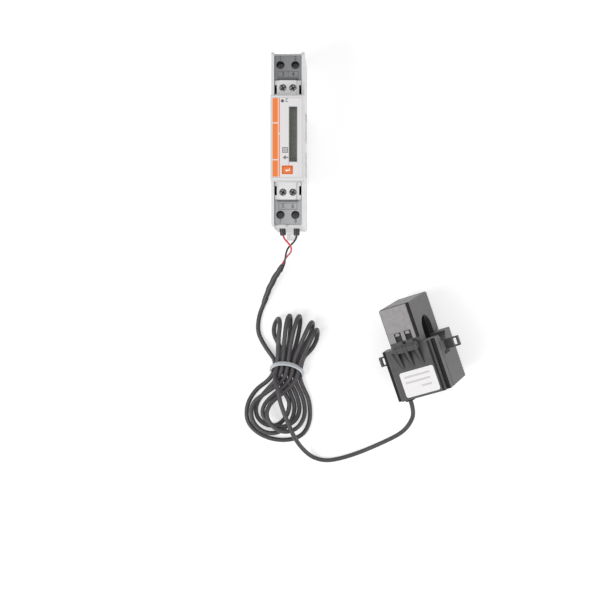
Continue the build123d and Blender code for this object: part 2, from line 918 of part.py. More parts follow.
def lug_marks(side):
    # Shallow slots above and below the lug's root
    inner = side * (ct_base_width / 2 - lug_mark_depth)
    outer = side * (ct_base_width / 2 + past)
    marks = []
    for low in (-lug_low, -lug_high - lug_mark_height):
        marks.append(block(inner, outer, low, low + lug_mark_height,
                           hole_middle() - lug_mark_half, hole_middle() + lug_mark_half))
    return marks


def latch_nub():
    # The catch on the back wall widens upwards, so that the cap's window slips over it
    back = -ct_depth
    outline = [(-latch_drop - nub_height, back + 0.5), (-latch_drop - nub_height, back - nub_low),
               (-latch_drop, back - nub_high), (-latch_drop + nub_high, back + 0.5)]
    return side_profile(outline, -nub_half, nub_half)


def cover_seat(play):
    # The plug of the lower cover, which closes the open end of the base
    half = ct_base_width / 2 - ct_wall - play
    step = (ct_base_width - ct_face_width) / 2
    return block(-half, half, -ct_base_height, -ct_base_height + ct_wall - play,
                 -ct_depth + ct_wall + play, -step - ct_wall - play)


def ct_base_cover():
    return cover_seat(running_gap) - cord_hole()


def ct_cap_shell():
    half = ct_cap_width / 2
    body = block(-half, half, fit_gap, ct_cap_height, -ct_cap_depth, 0)
    body = fillet(body.edges().group_by(Axis.Y)[-1], ct_round)
    inner = half - ct_wall
    body -= block(-inner, inner, -past, ct_cap_height - ct_wall, -ct_cap_depth + ct_wall, -ct_wall)
    shroud = block(-half, half, fit_gap, hole_height + ct_hole_diameter / 2 + ct_wall,
                   hole_middle() - ct_hole_diameter / 2 - ct_wall, hole_middle() + ct_hole_diameter / 2 + ct_wall)
    legs = block(-half, half, fit_gap, hole_height, -ct_depth, 0)
    arch = rod_x(-half, half, hole_height, hole_middle(), ct_hole_diameter + 2 * ct_wall)
    body += shroud & (legs + arch)
    body -= rod_x(-half - past, half + past, hole_height, hole_middle(), ct_hole_diameter)
    body -= block(-half - past, half + past, -past, hole_height, hole_middle() - ct_hole_diameter / 2,
                  hole_middle() + ct_hole_diameter / 2)
    for x in knuckle_places():
        width = hinge_pitch / 2 - rib_width / 2 - knuckle_play
        body -= block(x - width, x + width, pocket_low, pocket_high, -pocket_depth, past)
        arm = block(x - width, x + width, fit_gap, knuckle_rise, -ct_wall, hinge_z())
        arm += rod_x(x - width, x + width, hinge_y, hinge_z(), hinge_barrel)
        body += arm
    for x in rib_places():
        width = rib_width / 2 + knuckle_play
        body -= rod_x(x - width, x + width, hinge_y, hinge_z(), hinge_barrel + 2 * fit_gap)
    body -= rod_x(-half, half, hinge_y, hinge_z(), hinge_pin)
    return body + latch_tongue()


def latch_tongue():
    # A loop that hangs from the cap's back: plate, web, two side rails and the bar that catches under the nub
    outer = -ct_depth - latch_bulge
    low = -latch_drop - nub_height - latch_bar
    tongue = block(-latch_half, latch_half, low, latch_top, outer, outer + latch_plate)
    tongue += block(-latch_half, latch_half, latch_top - latch_web, latch_top, outer, -ct_cap_depth + ct_wall)
    for side in pair_signs:
        tongue += block(side * latch_half, side * (latch_half - latch_rail), low, latch_top, outer,
                        -ct_depth - nub_low - fit_gap)
    return tongue + block(-latch_half, latch_half, low, -latch_drop - nub_height - fit_gap, outer,
                          -ct_depth - nub_low - running_gap)


def ct_cores():
    upper_top = ct_cap_height - ct_wall - pad_space
    upper = block(-core_half, core_half, core_face_gap, upper_top, core_back(), core_front())
    window_top = hole_height + ct_hole_diameter / 2 + ct_wall + fit_gap
    upper -= block(-core_half - past, core_half + past, -past, window_top,
                   core_back() + core_leg, core_front() - core_leg)
    save_ct("ct_upper_core", upper)
    lower = block(-core_half, core_half, -core_drop, -core_face_gap, core_back(), core_front())
    lower -= block(-core_half - past, core_half + past, -core_drop + core_leg, past,
                   core_back() + core_leg, core_front() - core_leg)
    save_ct("ct_lower_core", lower)
    pad = block(-core_half, core_half, upper_top + face_gap, ct_cap_height - ct_wall - face_gap,
                hole_middle() - pad_half, hole_middle() + pad_half)
    save_ct("ct_core_pad", pad)


def ct_coil():
    yoke_middle = -core_drop + core_leg / 2
    long_half = core_window / 2 - fit_gap
    bore_grow = core_leg / 2 + running_gap
    sleeve_grow = bore_grow + bobbin_wall
    rim_grow = sleeve_grow + winding_depth
    bobbin = block_around(yoke_middle, rim_grow, long_half)
    bobbin -= block_around(yoke_middle, rim_grow + past, long_half - bobbin_wall)
    bobbin += block_around(yoke_middle, sleeve_grow, long_half)
    save_ct("ct_bobbin", bobbin - block_around(yoke_middle, bore_grow, ct_depth))
    winding = block_around(yoke_middle, rim_grow - running_gap, long_half - bobbin_wall - face_gap)
    save_ct("ct_winding", winding - block_around(yoke_middle, sleeve_grow + face_gap, ct_depth))


def block_around(y, grow, half_length_z):
    side = core_half - core_leg / 2 + grow
    return block(-side, side, y - grow, y + grow, hole_middle() - half_length_z, hole_middle() + half_length_z)


def ct_pin():
    reach = hinge_pitch + rib_width / 2 - face_gap
    return rod_x(-reach, reach, hinge_y, hinge_z(), hinge_pin)


def ct_label():
    sheet = block(ct_label_x - ct_label_width / 2, ct_label_x + ct_label_width / 2,
                  ct_label_y - ct_label_height / 2, ct_label_y + ct_label_height / 2, 0, ct_label_thickness)
    return fillet(sheet.edges().filter_by(Axis.Z), ct_label_round)


def ct_gland():
    body = rod_y(cord_exit_x, -ct_base_height - gland_out, -ct_base_height + gland_length, cord_exit_z, gland_body)
    flange = rod_y(cord_exit_x, -ct_base_height - gland_out, -ct_base_height - face_gap, cord_exit_z, gland_flange)
    return body + flange


def current_transformer():
    save_ct("ct_base_shell", ct_base_shell())
    save_ct("ct_base_cover", ct_base_cover())
    save_ct("ct_cap_shell", ct_cap_shell())
    save_ct("ct_hinge_pin", ct_pin())
    save_ct("ct_label", ct_label())
    save_ct("ct_cable_gland", ct_gland())
    ct_cores()
    ct_coil()


# Lead: two wires, heat-shrink sleeve, sheathed cable with its hank and tie
def straight_and_arcs(points, name):
    # Every corner takes the largest arc that 0.45 of its shorter run allows
    radii = []
    for before, corner, after in zip(points, points[1:], points[2:]):
        arriving = Vector(*corner) - Vector(*before)
        leaving = Vector(*after) - Vector(*corner)
        half_turn = math.radians(arriving.get_angle(leaving)) / 2
        radii.append(corner_share * min(arriving.length, leaving.length) / math.tan(half_turn))
    print(name, "radii", [round(radius, 1) for radius in radii])
    return FilletPolyline(*points, radius=radii)


def tube(path, diameter):
    start = path @ 0
    section = Plane(origin=start, z_dir=path % 0) * Circle(diameter / 2)
    return sweep(section, path=path)


def report_volume(name, solid, path, diameter):
    expected = math.pi * diameter ** 2 / 4 * path.length
    print(name, "length", round(path.length, 1), "volume share", round(solid.volume / expected, 4))


def cord_node(name, points, diameter):
    path = Wire(straight_and_arcs(points, name).edges())
    solid = tube(path, diameter)
    report_volume(name, solid, path, diameter)
    save(name, solid)
    return path


def sleeve_axis():
    return (Vector(*sleeve_end) - Vector(*sleeve_start)).normalized()


def beside_sleeve_axis(along, side):
    axis = sleeve_axis()
    across = Vector(-axis.Y, axis.X, 0).normalized()
    return Vector(*sleeve_start) + axis * along + across * side


def wire_points(middle, x, side):
    start = (x, -ferrule_sleeve_end, entry_height)
    lead_in = beside_sleeve_axis(-sleeve_lead_in, side)
    inside = beside_sleeve_axis(wire_depth, side)
    return [start] + middle + [tuple(lead_in), tuple(inside)]


def heat_shrink():
    path = Line(sleeve_start, sleeve_end)
    outer = tube(path, sleeve_outer)
    return outer - tube(path, sleeve_bore)


def ferrules():
    shapes = []
    for side in pair_signs:
        x = side * main_pitch / 2
        pin = rod_y(x, -ferrule_sleeve_start, -ferrule_pin_start, entry_height, ferrule_pin)
        sleeve = rod_y(x, -ferrule_sleeve_end, -ferrule_sleeve_start, entry_height, ferrule_sleeve)
        shapes.append(pin + sleeve)
    return group(shapes)


def tie_opening_height():
    lean = math.radians(tie_lean)
    stack = 2 * cord + strand_gap + 2 * fit_gap
    return (stack + tie_width * math.sin(lean)) / math.cos(lean)


def hank_middle():
    # The leaning tie stands on the table, which sets how high the waist is
    lean = math.radians(tie_lean)
    return table + (tie_opening_height() / 2 + tie_thickness) * math.cos(lean) + tie_width / 2 * math.sin(lean)


def layer_height(layer):
    return hank_middle() + (layer - 0.5) * (cord + strand_gap)


def waist_offset(index):
    return waist_half - index * (cord + strand_gap) / 2


def lobe_offset(outer, step, index):
    return outer - index * step / 2


def side_bend(start, end, direction):
    # Two equal arcs, both ending along the hank
    middle = ((start[0] + end[0]) / 2, (start[1] + end[1]) / 2, (start[2] + end[2]) / 2)
    first = TangentArc(start, middle, tangent=(0, direction, 0))
    second = TangentArc(middle, end, tangent=first % 1)
    return [first, second]


def hank_edges():
    # The order of the strands: inwards in the lower layer, outwards again in the upper one.
    # The climb between the layers goes along the run that leads into a half turn.
    last = 2 * loops_per_layer
    inward = [(index, 0) for index in range(last)]
    outward = [(index, 1) for index in range(last - 2, -1, -1)]
    strands = inward + outward
    edges = []
    lower = -lower_run
    upper = upper_run
    index, layer = strands[0]
    z = layer_height(layer)
    edges.append(Line((-waist_offset(index), hank_start, z), (-waist_offset(index), -waist_straight, z)))
    for count, (here, there) in enumerate(zip(strands, strands[1:])):
        # Even runs go down the left side, odd ones up the right side
        side = -1 if count % 2 == 0 else 1
        going = side
        outer = lower_outer if going < 0 else upper_outer
        step = lower_step if going < 0 else upper_step
        far = lower if going < 0 else upper
        z_here = layer_height(here[1])
        z_there = layer_height(there[1])
        near_y = going * waist_straight
        start = (side * waist_offset(here[0]), near_y, z_here)
        turn = (side * lobe_offset(outer, step, here[0]), far, z_there)
        back = (-side * lobe_offset(outer, step, there[0]), far, z_there)
        finish = (-side * waist_offset(there[0]), near_y, z_there)
        edges += side_bend(start, turn, going)
        edges.append(TangentArc(turn, back, tangent=(0, going, 0)))
        edges += side_bend(back, finish, -going)
        ends_here = count == len(strands) - 2
        through = (finish[0], hank_finish if ends_here else -near_y, z_there)
        edges.append(Line(finish, through))
    return edges


def hank_place():
    return Pos(hank_x, hank_y, 0) * Rot(0, 0, -hank_tilt)


def least_gap(path, diameter):
    # Distance between the surfaces of strands that aren't neighbours along the tube
    count = int(path.length / gap_sample)
    points = [path @ (place / count) for place in range(count + 1)]
    skip = int(3 * diameter / gap_sample)
    least = path.length
    for place, point in enumerate(points):
        for other in points[place + skip:]:
            least = min(least, (point - other).length)
    return least - diameter


def cable_hank():
    path = Wire(hank_edges())
    solid = tube(path, cord)
    report_volume("cable_hank", solid, path, cord)
    print("cable_hank least gap to itself", round(least_gap(path, cord), 3))
    save("cable_hank", hank_place() * solid)


def hank_point(x, y, layer):
    place = hank_place() * Pos(x, y, layer_height(layer))
    return tuple(place.position)


def cable_tie():
    # A leaning band round the waist: its upper run lies nearer the meter
    last = 2 * loops_per_layer - 1
    left = -waist_half - cord / 2 - fit_gap
    right = waist_offset(last % 2) + cord / 2 + fit_gap
    lean = math.radians(tie_lean)
    height = tie_opening_height()
    ring = Rectangle(right - left + 2 * tie_thickness, height + 2 * tie_thickness)
    ring = fillet(ring.vertices(), tie_round + tie_thickness)
    opening = fillet(Rectangle(right - left, height).vertices(), tie_round)
    centre = ((left + right) / 2, 0, hank_middle())
    plane = Plane(origin=centre, x_dir=(1, 0, 0), z_dir=(0, -math.cos(lean), math.sin(lean)))
    band = extrude(plane * (ring - opening), tie_width / 2, both=True)
    return hank_place() * band


def leads():
    save("wire_ferrules", ferrules())
    left = -main_pitch / 2
    cord_node("wire_red", wire_points(red_route, left, -wire_offset), wire)
    cord_node("wire_black", wire_points(black_route, -left, wire_offset), wire)
    save("heat_shrink_sleeve", heat_shrink())
    start = hank_point(-waist_half, hank_start, 0)
    before = hank_point(-waist_half, hank_start + hank_lead_in, 0)
    cord_node("cable_meter_lead", meter_lead_route + [before, start], cord)
    cable_hank()
    finish = hank_point(-waist_half, hank_finish, 1)
    after = hank_point(-waist_half, hank_finish - hank_lead_out, 1)
    exit_place = ct_place() * Pos(cord_exit_x, -ct_base_height - gland_out, cord_exit_z)
    exit_run = ct_place() * Pos(cord_exit_x, -ct_base_height - gland_out - gland_run, cord_exit_z)
    climbed = hank_point(climb_x, climb_y, 1)
    over = (climbed[0], climbed[1], climb_top)
    route = [finish, after, over] + ct_lead_route + [tuple(exit_run.position), tuple(exit_place.position)]
    cord_node("cable_ct_lead", route, cord)
    save("cable_tie", cable_tie())


os.makedirs("parts", exist_ok=True)
case_shells()
case_rivets()
save("rail_clip", rail_clip())
terminals()
display_parts()
board_parts()
contact_bars()
save("side_label", side_label())
current_transformer()
leads()
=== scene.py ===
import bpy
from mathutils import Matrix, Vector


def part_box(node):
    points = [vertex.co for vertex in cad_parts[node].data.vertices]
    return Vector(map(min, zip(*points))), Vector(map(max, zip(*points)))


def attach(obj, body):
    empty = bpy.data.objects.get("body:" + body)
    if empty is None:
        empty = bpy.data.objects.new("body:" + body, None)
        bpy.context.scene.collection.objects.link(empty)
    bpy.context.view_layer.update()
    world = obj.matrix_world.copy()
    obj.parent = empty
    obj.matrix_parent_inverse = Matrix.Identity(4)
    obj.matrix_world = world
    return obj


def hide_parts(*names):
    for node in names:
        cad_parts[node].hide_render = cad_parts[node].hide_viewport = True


bl_info = {
    "name": "Current transformer meter",
    "version": (1, 0, 0),
    "blender": (4, 5, 0),
    "location": "3D View > Sidebar > Meter",
    "description": "Dresses the packed model of a one-module energy meter, its hanked lead and its "
                   "split-core transformer",
    "category": "Add Mesh",
}

import math

import bmesh
import bpy
from mathutils import Matrix, Vector

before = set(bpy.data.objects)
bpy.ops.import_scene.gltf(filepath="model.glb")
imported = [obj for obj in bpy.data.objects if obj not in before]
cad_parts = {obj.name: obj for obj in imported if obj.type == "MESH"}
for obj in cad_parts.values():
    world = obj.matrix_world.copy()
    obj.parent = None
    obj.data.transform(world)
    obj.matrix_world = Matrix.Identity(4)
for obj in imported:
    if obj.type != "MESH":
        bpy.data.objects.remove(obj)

# Heights in metres
TABLE = -0.0072
FILM_TOP = 0.0575
BLOCK_TOP = 0.0467
# Lean of the left ferrule, in degrees
FERRULE_LEAN = 7.0
# Heights of a strand's centre, in millimetres: on the table, and in the waist's lower and upper layer
DOWN = -5.95
LOW = -3.96
HIGH = -1.01


def in_metres(points):
    return [tuple(round(value / 1000, 6) for value in point) for point in points]


# Cord routes, written in millimetres. The single wires run from their ferrules into the heat-shrink sleeve.
RED_ROUTE = in_metres([
    (-3.37, -50.16, 26.0), (-2.8, -52.0, 26.2), (-0.8, -54.0, 26.4), (1.0, -56.2, 25.0), (0.8, -58.8, 17.2),
    (-2.2, -61.1, 7.0), (-4.3, -64.0, 4.0), (-5.4, -66.8, 2.6), (-6.7, -69.1, 1.7),
])
BLACK_ROUTE = in_metres([
    (4.0, -50.2, 26.0), (3.6, -52.2, 26.0), (1.7, -54.2, 22.8), (-1.0, -56.5, 19.0), (-2.2, -59.4, 17.2),
    (-2.9, -62.6, 12.0), (-3.5, -65.4, 3.6), (-5.6, -69.6, 1.7),
])
METER_LEAD = in_metres([
    (-14.0, -84.2, -3.91), (-16.84, -89.6, DOWN), (-19.0, -96.8, DOWN), (-19.2, -104.0, DOWN),
    (-16.2, -110.2, -5.7), (-12.4, -115.8, -5.0),
])
TRANSFORMER_LEAD = in_metres([
    (-6.4, -141.6, 4.6), (-4.2, -148.6, 4.8), (-1.0, -156.2, 5.2), (2.2, -163.6, 4.6), (6.6, -170.4, -1.4),
    (12.2, -175.6, -5.4), (20.0, -177.6, DOWN), (29.4, -175.8, DOWN), (38.8, -172.6, -5.3),
    (47.6, -168.6, -2.4), (55.6, -164.4, 2.6), (62.4, -160.0, 9.0), (66.6, -154.6, 15.6),
    (69.1, -147.6, 19.8), (66.8, -141.0, 20.2),
])
# The hank's strands in its own frame: x across the waist, y towards the meter, z up, in the order that the
# cable runs. Each strand keeps its own bends, so that the fingers fan out and the lower loops cross.
HANK_CENTRE = (-0.0015, -0.1250)
HANK_LEAN = -10.0
HANK_STRANDS = [
    # from the meter into the waist
    [(-8.9, 4.2, -4.2), (-8.1, 0.5, LOW), (-8.1, -3.5, LOW)],
    # lower loop 1, the widest
    [(-10.4, -8.5, -5.0), (-16.6, -14.6, DOWN), (-20.3, -24.0, DOWN), (-18.4, -34.5, DOWN),
     (-8.5, -40.5, DOWN), (3.5, -41.2, DOWN), (14.0, -37.0, DOWN), (17.5, -27.5, DOWN), (14.8, -15.5, DOWN),
     (9.7, -8.8, -5.3), (6.6, -3.0, LOW), (6.6, 3.0, LOW)],
    # finger 5, at the right
    [(7.1, 8.5, -5.0), (10.4, 12.5, DOWN), (12.6, 18.0, DOWN), (12.8, 22.8, DOWN), (12.0, 25.8, -0.95),
     (10.8, 23.2, 4.05), (9.0, 16.5, 3.4), (7.0, 9.5, 0.8), (5.6, 3.0, HIGH), (5.6, -3.0, HIGH)],
    # lower loop 2, on top of the others
    [(3.8, -8.0, -1.0), (-1.6, -14.5, -0.7), (-7.2, -21.0, 0.4), (-8.3, -27.5, 1.6), (-3.6, -33.5, 1.9),
     (4.4, -35.7, 1.9), (11.6, -31.5, 1.2), (14.0, -23.5, -3.2), (11.2, -15.2, DOWN), (6.5, -8.8, -5.3),
     (3.7, -3.0, LOW), (3.7, 3.0, LOW)],
    # finger 4
    [(4.1, 9.0, -5.2), (6.6, 15.0, DOWN), (8.6, 21.0, DOWN), (9.4, 26.2, DOWN), (8.6, 29.6, -0.95),
     (7.2, 26.6, 4.05), (5.4, 19.5, 4.1), (3.7, 12.5, 2.2), (2.5, 7.0, -0.2), (2.3, 3.0, HIGH),
     (2.3, -3.0, HIGH)],
    # lower loop 3
    [(0.5, -8.0, -1.0), (-4.9, -14.5, -1.1), (-10.2, -21.2, -1.0), (-10.7, -27.5, -0.6),
     (-5.5, -32.6, -0.7), (2.4, -33.2, -0.7), (9.0, -28.5, -1.5), (10.5, -21.8, -5.0), (7.7, -15.0, DOWN),
     (3.3, -8.8, -5.3), (0.7, -3.0, LOW), (0.7, 3.0, LOW)],
    # finger 3
    [(0.9, 9.0, -5.2), (1.8, 16.0, DOWN), (2.0, 22.5, DOWN), (1.8, 28.5, DOWN), (0.8, 31.8, -0.95),
     (-0.2, 28.5, 4.05), (-1.0, 21.0, 4.1), (-1.2, 14.0, 2.4), (-1.1, 7.5, -0.1), (-1.0, 3.0, HIGH),
     (-1.0, -3.0, HIGH)],
    # lower loop 4
    [(-2.9, -8.0, -1.4), (-9.4, -14.3, -1.6), (-17.6, -22.5, -3.1), (-16.0, -32.5, -3.3),
     (-8.5, -38.0, -3.3), (0.5, -37.2, -3.3), (6.6, -30.0, -4.4), (7.6, -21.0, -5.8), (4.2, -14.8, DOWN),
     (0.1, -8.8, -5.3), (-2.2, -3.0, LOW), (-2.2, 3.0, LOW)],
    # finger 2
    [(-2.4, 9.0, -5.2), (-2.6, 15.5, DOWN), (-3.2, 22.2, DOWN), (-3.8, 28.0, DOWN), (-4.7, 31.1, -0.95),
     (-5.6, 28.0, 4.05), (-5.4, 20.8, 4.1), (-4.8, 13.5, 2.4), (-4.3, 7.5, -0.1), (-4.0, 3.0, HIGH),
     (-4.0, -3.0, HIGH)],
    # lower loop 5, the lowest
    [(-6.4, -8.0, -2.2), (-10.8, -14.5, -4.8), (-15.2, -22.5, DOWN), (-13.8, -30.0, DOWN),
     (-7.4, -34.0, DOWN), (-0.6, -33.0, DOWN), (3.6, -27.0, DOWN), (4.2, -19.2, DOWN), (0.7, -14.6, -5.8),
     (-3.2, -8.8, -5.2), (-5.2, -3.0, LOW), (-5.2, 3.0, LOW)],
    # finger 1, at the left
    [(-5.3, 9.0, -5.0), (-8.6, 13.5, DOWN), (-12.2, 18.5, DOWN), (-12.6, 24.0, DOWN), (-10.6, 28.5, -0.95),
     (-9.0, 25.0, 4.05), (-8.6, 18.5, 4.1), (-8.0, 12.0, 2.4), (-7.3, 7.2, -0.1), (-7.0, 3.0, HIGH),
     (-7.2, -2.6, HIGH)],
    # the lead leaves the waist and climbs over the lower loops
    [(-6.6, -7.0, 1.6), (-4.2, -11.2, 4.4)],
]


def linear(hex_colour):
    """An sRGB colour written as six hex digits, in linear light."""
    parts = [int(hex_colour[i:i + 2], 16) / 255 for i in (0, 2, 4)]
    return tuple(c / 12.92 if c <= 0.04045 else ((c + 0.055) / 1.055) ** 2.4 for c in parts)


def colour(name, description, hex_colour):
    return bpy.props.FloatVectorProperty(name=name, description=description, subtype="COLOR", size=3,
                                         min=0, max=1, default=linear(hex_colour))


def length(name, description, default):
    return bpy.props.FloatProperty(name=name, description=description, default=default, min=0, unit="LENGTH",
                                   subtype="DISTANCE", precision=5)


class MeterColours(bpy.types.PropertyGroup):
    case: colour("Case", "Moulded case, nose cover and rail clip", "e4e3e4")
    upper_block: colour("Upper terminal block", "Grey block round the upper main terminals", "7e7f82")
    lower_block: colour("Lower terminal block", "Grey block round the lower main terminals", "a5a6a9")
    film: colour("Front film", "Printed film on the nose", "e8e6e7")
    band: colour("Colour band", "Wide band and fine line down the film", "f6812f")
    button: colour("Button", "Scroll button", "f37a2c")
    display: colour("Display", "Unlit liquid crystal", "62645a")
    red: colour("Red wire", "Insulation of the first wire", "d94c58")
    sheath: colour("Sheath", "Outer sheath of the lead", "3d3a3d")
    housing: colour("Transformer", "Transformer housing", "3a393b")
    tie: colour("Tie", "Plastic strap round the hank", "dddce0")


class MeterSizes(bpy.types.PropertyGroup):
    cable: length("Cable", "Diameter of the sheathed lead", 0.0025)
    wire: length("Wire", "Diameter of a single wire over its insulation", 0.0011)
    print_height: length("Figures", "Height of the figures beside the terminals", 0.0023)
    ferrule_ribs: bpy.props.IntProperty(name="Ferrule ribs", description="Ribs round a ferrule's sleeve",
                                        default=8)
    tooth_pitch: length("Tie teeth", "Distance from tooth to tooth on the tie", 0.0011)
    floor: length("Floor", "Side of the floor", 1.6)


def add(tree, kind, inputs=None, **settings):
    """A new node. Each input is a value, a socket, or a node that stands for its first output."""
    node = tree.nodes.new(kind)
    for key, value in settings.items():
        setattr(node, key, value)
    for key, value in (inputs or {}).items():
        if isinstance(value, bpy.types.Node):
            value = value.outputs[0]
        if isinstance(value, bpy.types.NodeSocket):
            tree.links.new(value, node.inputs[key])
        else:
            node.inputs[key].default_value = value
    return node


def shade(name, **values):
    """A material, its tree, its Principled shader with these plain values, and its Object coordinates."""
    material = bpy.data.materials.new(name)
    material.use_nodes = True
    tree = material.node_tree
    shader = tree.nodes["Principled BSDF"]
    for key, value in values.items():
        shader.inputs[key.replace("_", " ")].default_value = value
    place = add(tree, "ShaderNodeTexCoord").outputs["Object"]
    return material, tree, shader, place


def rgba(values, factor=1.0):
    """A shader's colour, from linear values or from an sRGB colour in hex digits."""
    if isinstance(values, str):
        values = linear(values)
    return tuple(min(1.0, v * factor) for v in values[:3]) + (1.0,)


def blend(tree, first, second, share):
    """A colour between two others."""
    mix = add(tree, "ShaderNodeMix", {"A": first, "B": second, "Factor": share}, data_type="RGBA")
    return mix.outputs["Result"]


def ranged(tree, value, start, end, low=0.0, high=1.0):
    """What runs from start to end, made to run from low to high."""
    limits = {"From Min": start, "From Max": end, "To Min": low, "To Max": high}
    return add(tree, "ShaderNodeMapRange", {"Value": value, **limits}).outputs["Result"]


def mottled(tree, shader, place, dark, light, scale, detail=3.0):
    """Base colour that drifts between two tones."""
    looks = {"Scale": scale, "Detail": detail, "Roughness": 0.55}
    noise = add(tree, "ShaderNodeTexNoise", {"Vector": place, **looks})
    tree.links.new(blend(tree, dark, light, noise), shader.inputs["Base Color"])


def raised(tree, shader, height, depth, strength):
    """A bump of this height pattern."""
    bump = add(tree, "ShaderNodeBump", {"Distance": depth, "Strength": strength, "Height": height})
    tree.links.new(bump.outputs["Normal"], shader.inputs["Normal"])


def grained(tree, shader, place, scale, depth, strength):
    """A fine raised texture."""
    grain = add(tree, "ShaderNodeTexNoise", {"Scale": scale, "Vector": place})
    raised(tree, shader, grain, depth, strength)


def worn(tree, shader, place, low, high, scale):
    """Roughness that varies as handling leaves it."""
    noise = add(tree, "ShaderNodeTexNoise", {"Scale": scale, "Detail": 4.0, "Vector": place})
    tree.links.new(ranged(tree, noise, 0.3, 0.7, low, high), shader.inputs["Roughness"])


def coated(name, dark, light, mottle, grain=None, wear=None, stretch=None, **values):
    """A material whose colour drifts from dark to light. Mottle holds a scale and sometimes a detail. Grain
    holds a scale, a depth and a strength. Wear holds the lowest and highest roughness and a scale. Stretch
    scales mottle and grain along each axis."""
    material, tree, shader, place = shade(name, **values)
    pattern = place
    if stretch:
        pattern = add(tree, "ShaderNodeMapping", {"Scale": stretch, "Vector": place})
    mottled(tree, shader, pattern, rgba(dark), rgba(light), *mottle)
    if grain:
        grained(tree, shader, pattern, *grain)
    if wear:
        worn(tree, shader, place, *wear)
    return material


def moulded(name, base, tone=0.03, rough=(0.42, 0.55), grain=4200, depth=0.00002, **values):
    """Injection-moulded plastic: an even colour, a fine spark-eroded grain and slightly uneven gloss."""
    return coated(name, rgba(base, 1 - tone), rgba(base, 1 + tone), (90,), (grain, depth, 0.35),
                  (*rough, 140), **values)


def metal(name, base, rough=(0.18, 0.34), scratch=900):
    """Plated or turned metal with a fine directional brushing."""
    return coated(name, rgba(base, 0.9), rgba(base, 1.05), (260,), (scratch, 0.000008, 0.25), (*rough, 600),
                  (1.0, 9.0, 1.0), Metallic=1.0)


def ink(name, base, tone=0.05, rough=(0.4, 0.5)):
    """A thin printed film of colour, finely grained."""
    return moulded(name, base, tone, rough, 6000, 0.000006)


def rubber(name, base, tone, rough, grain=2600, depth=0.00002):
    """Soft extruded or moulded skin."""
    return moulded(name, base, tone, rough, grain, depth)


MATERIALS = {}


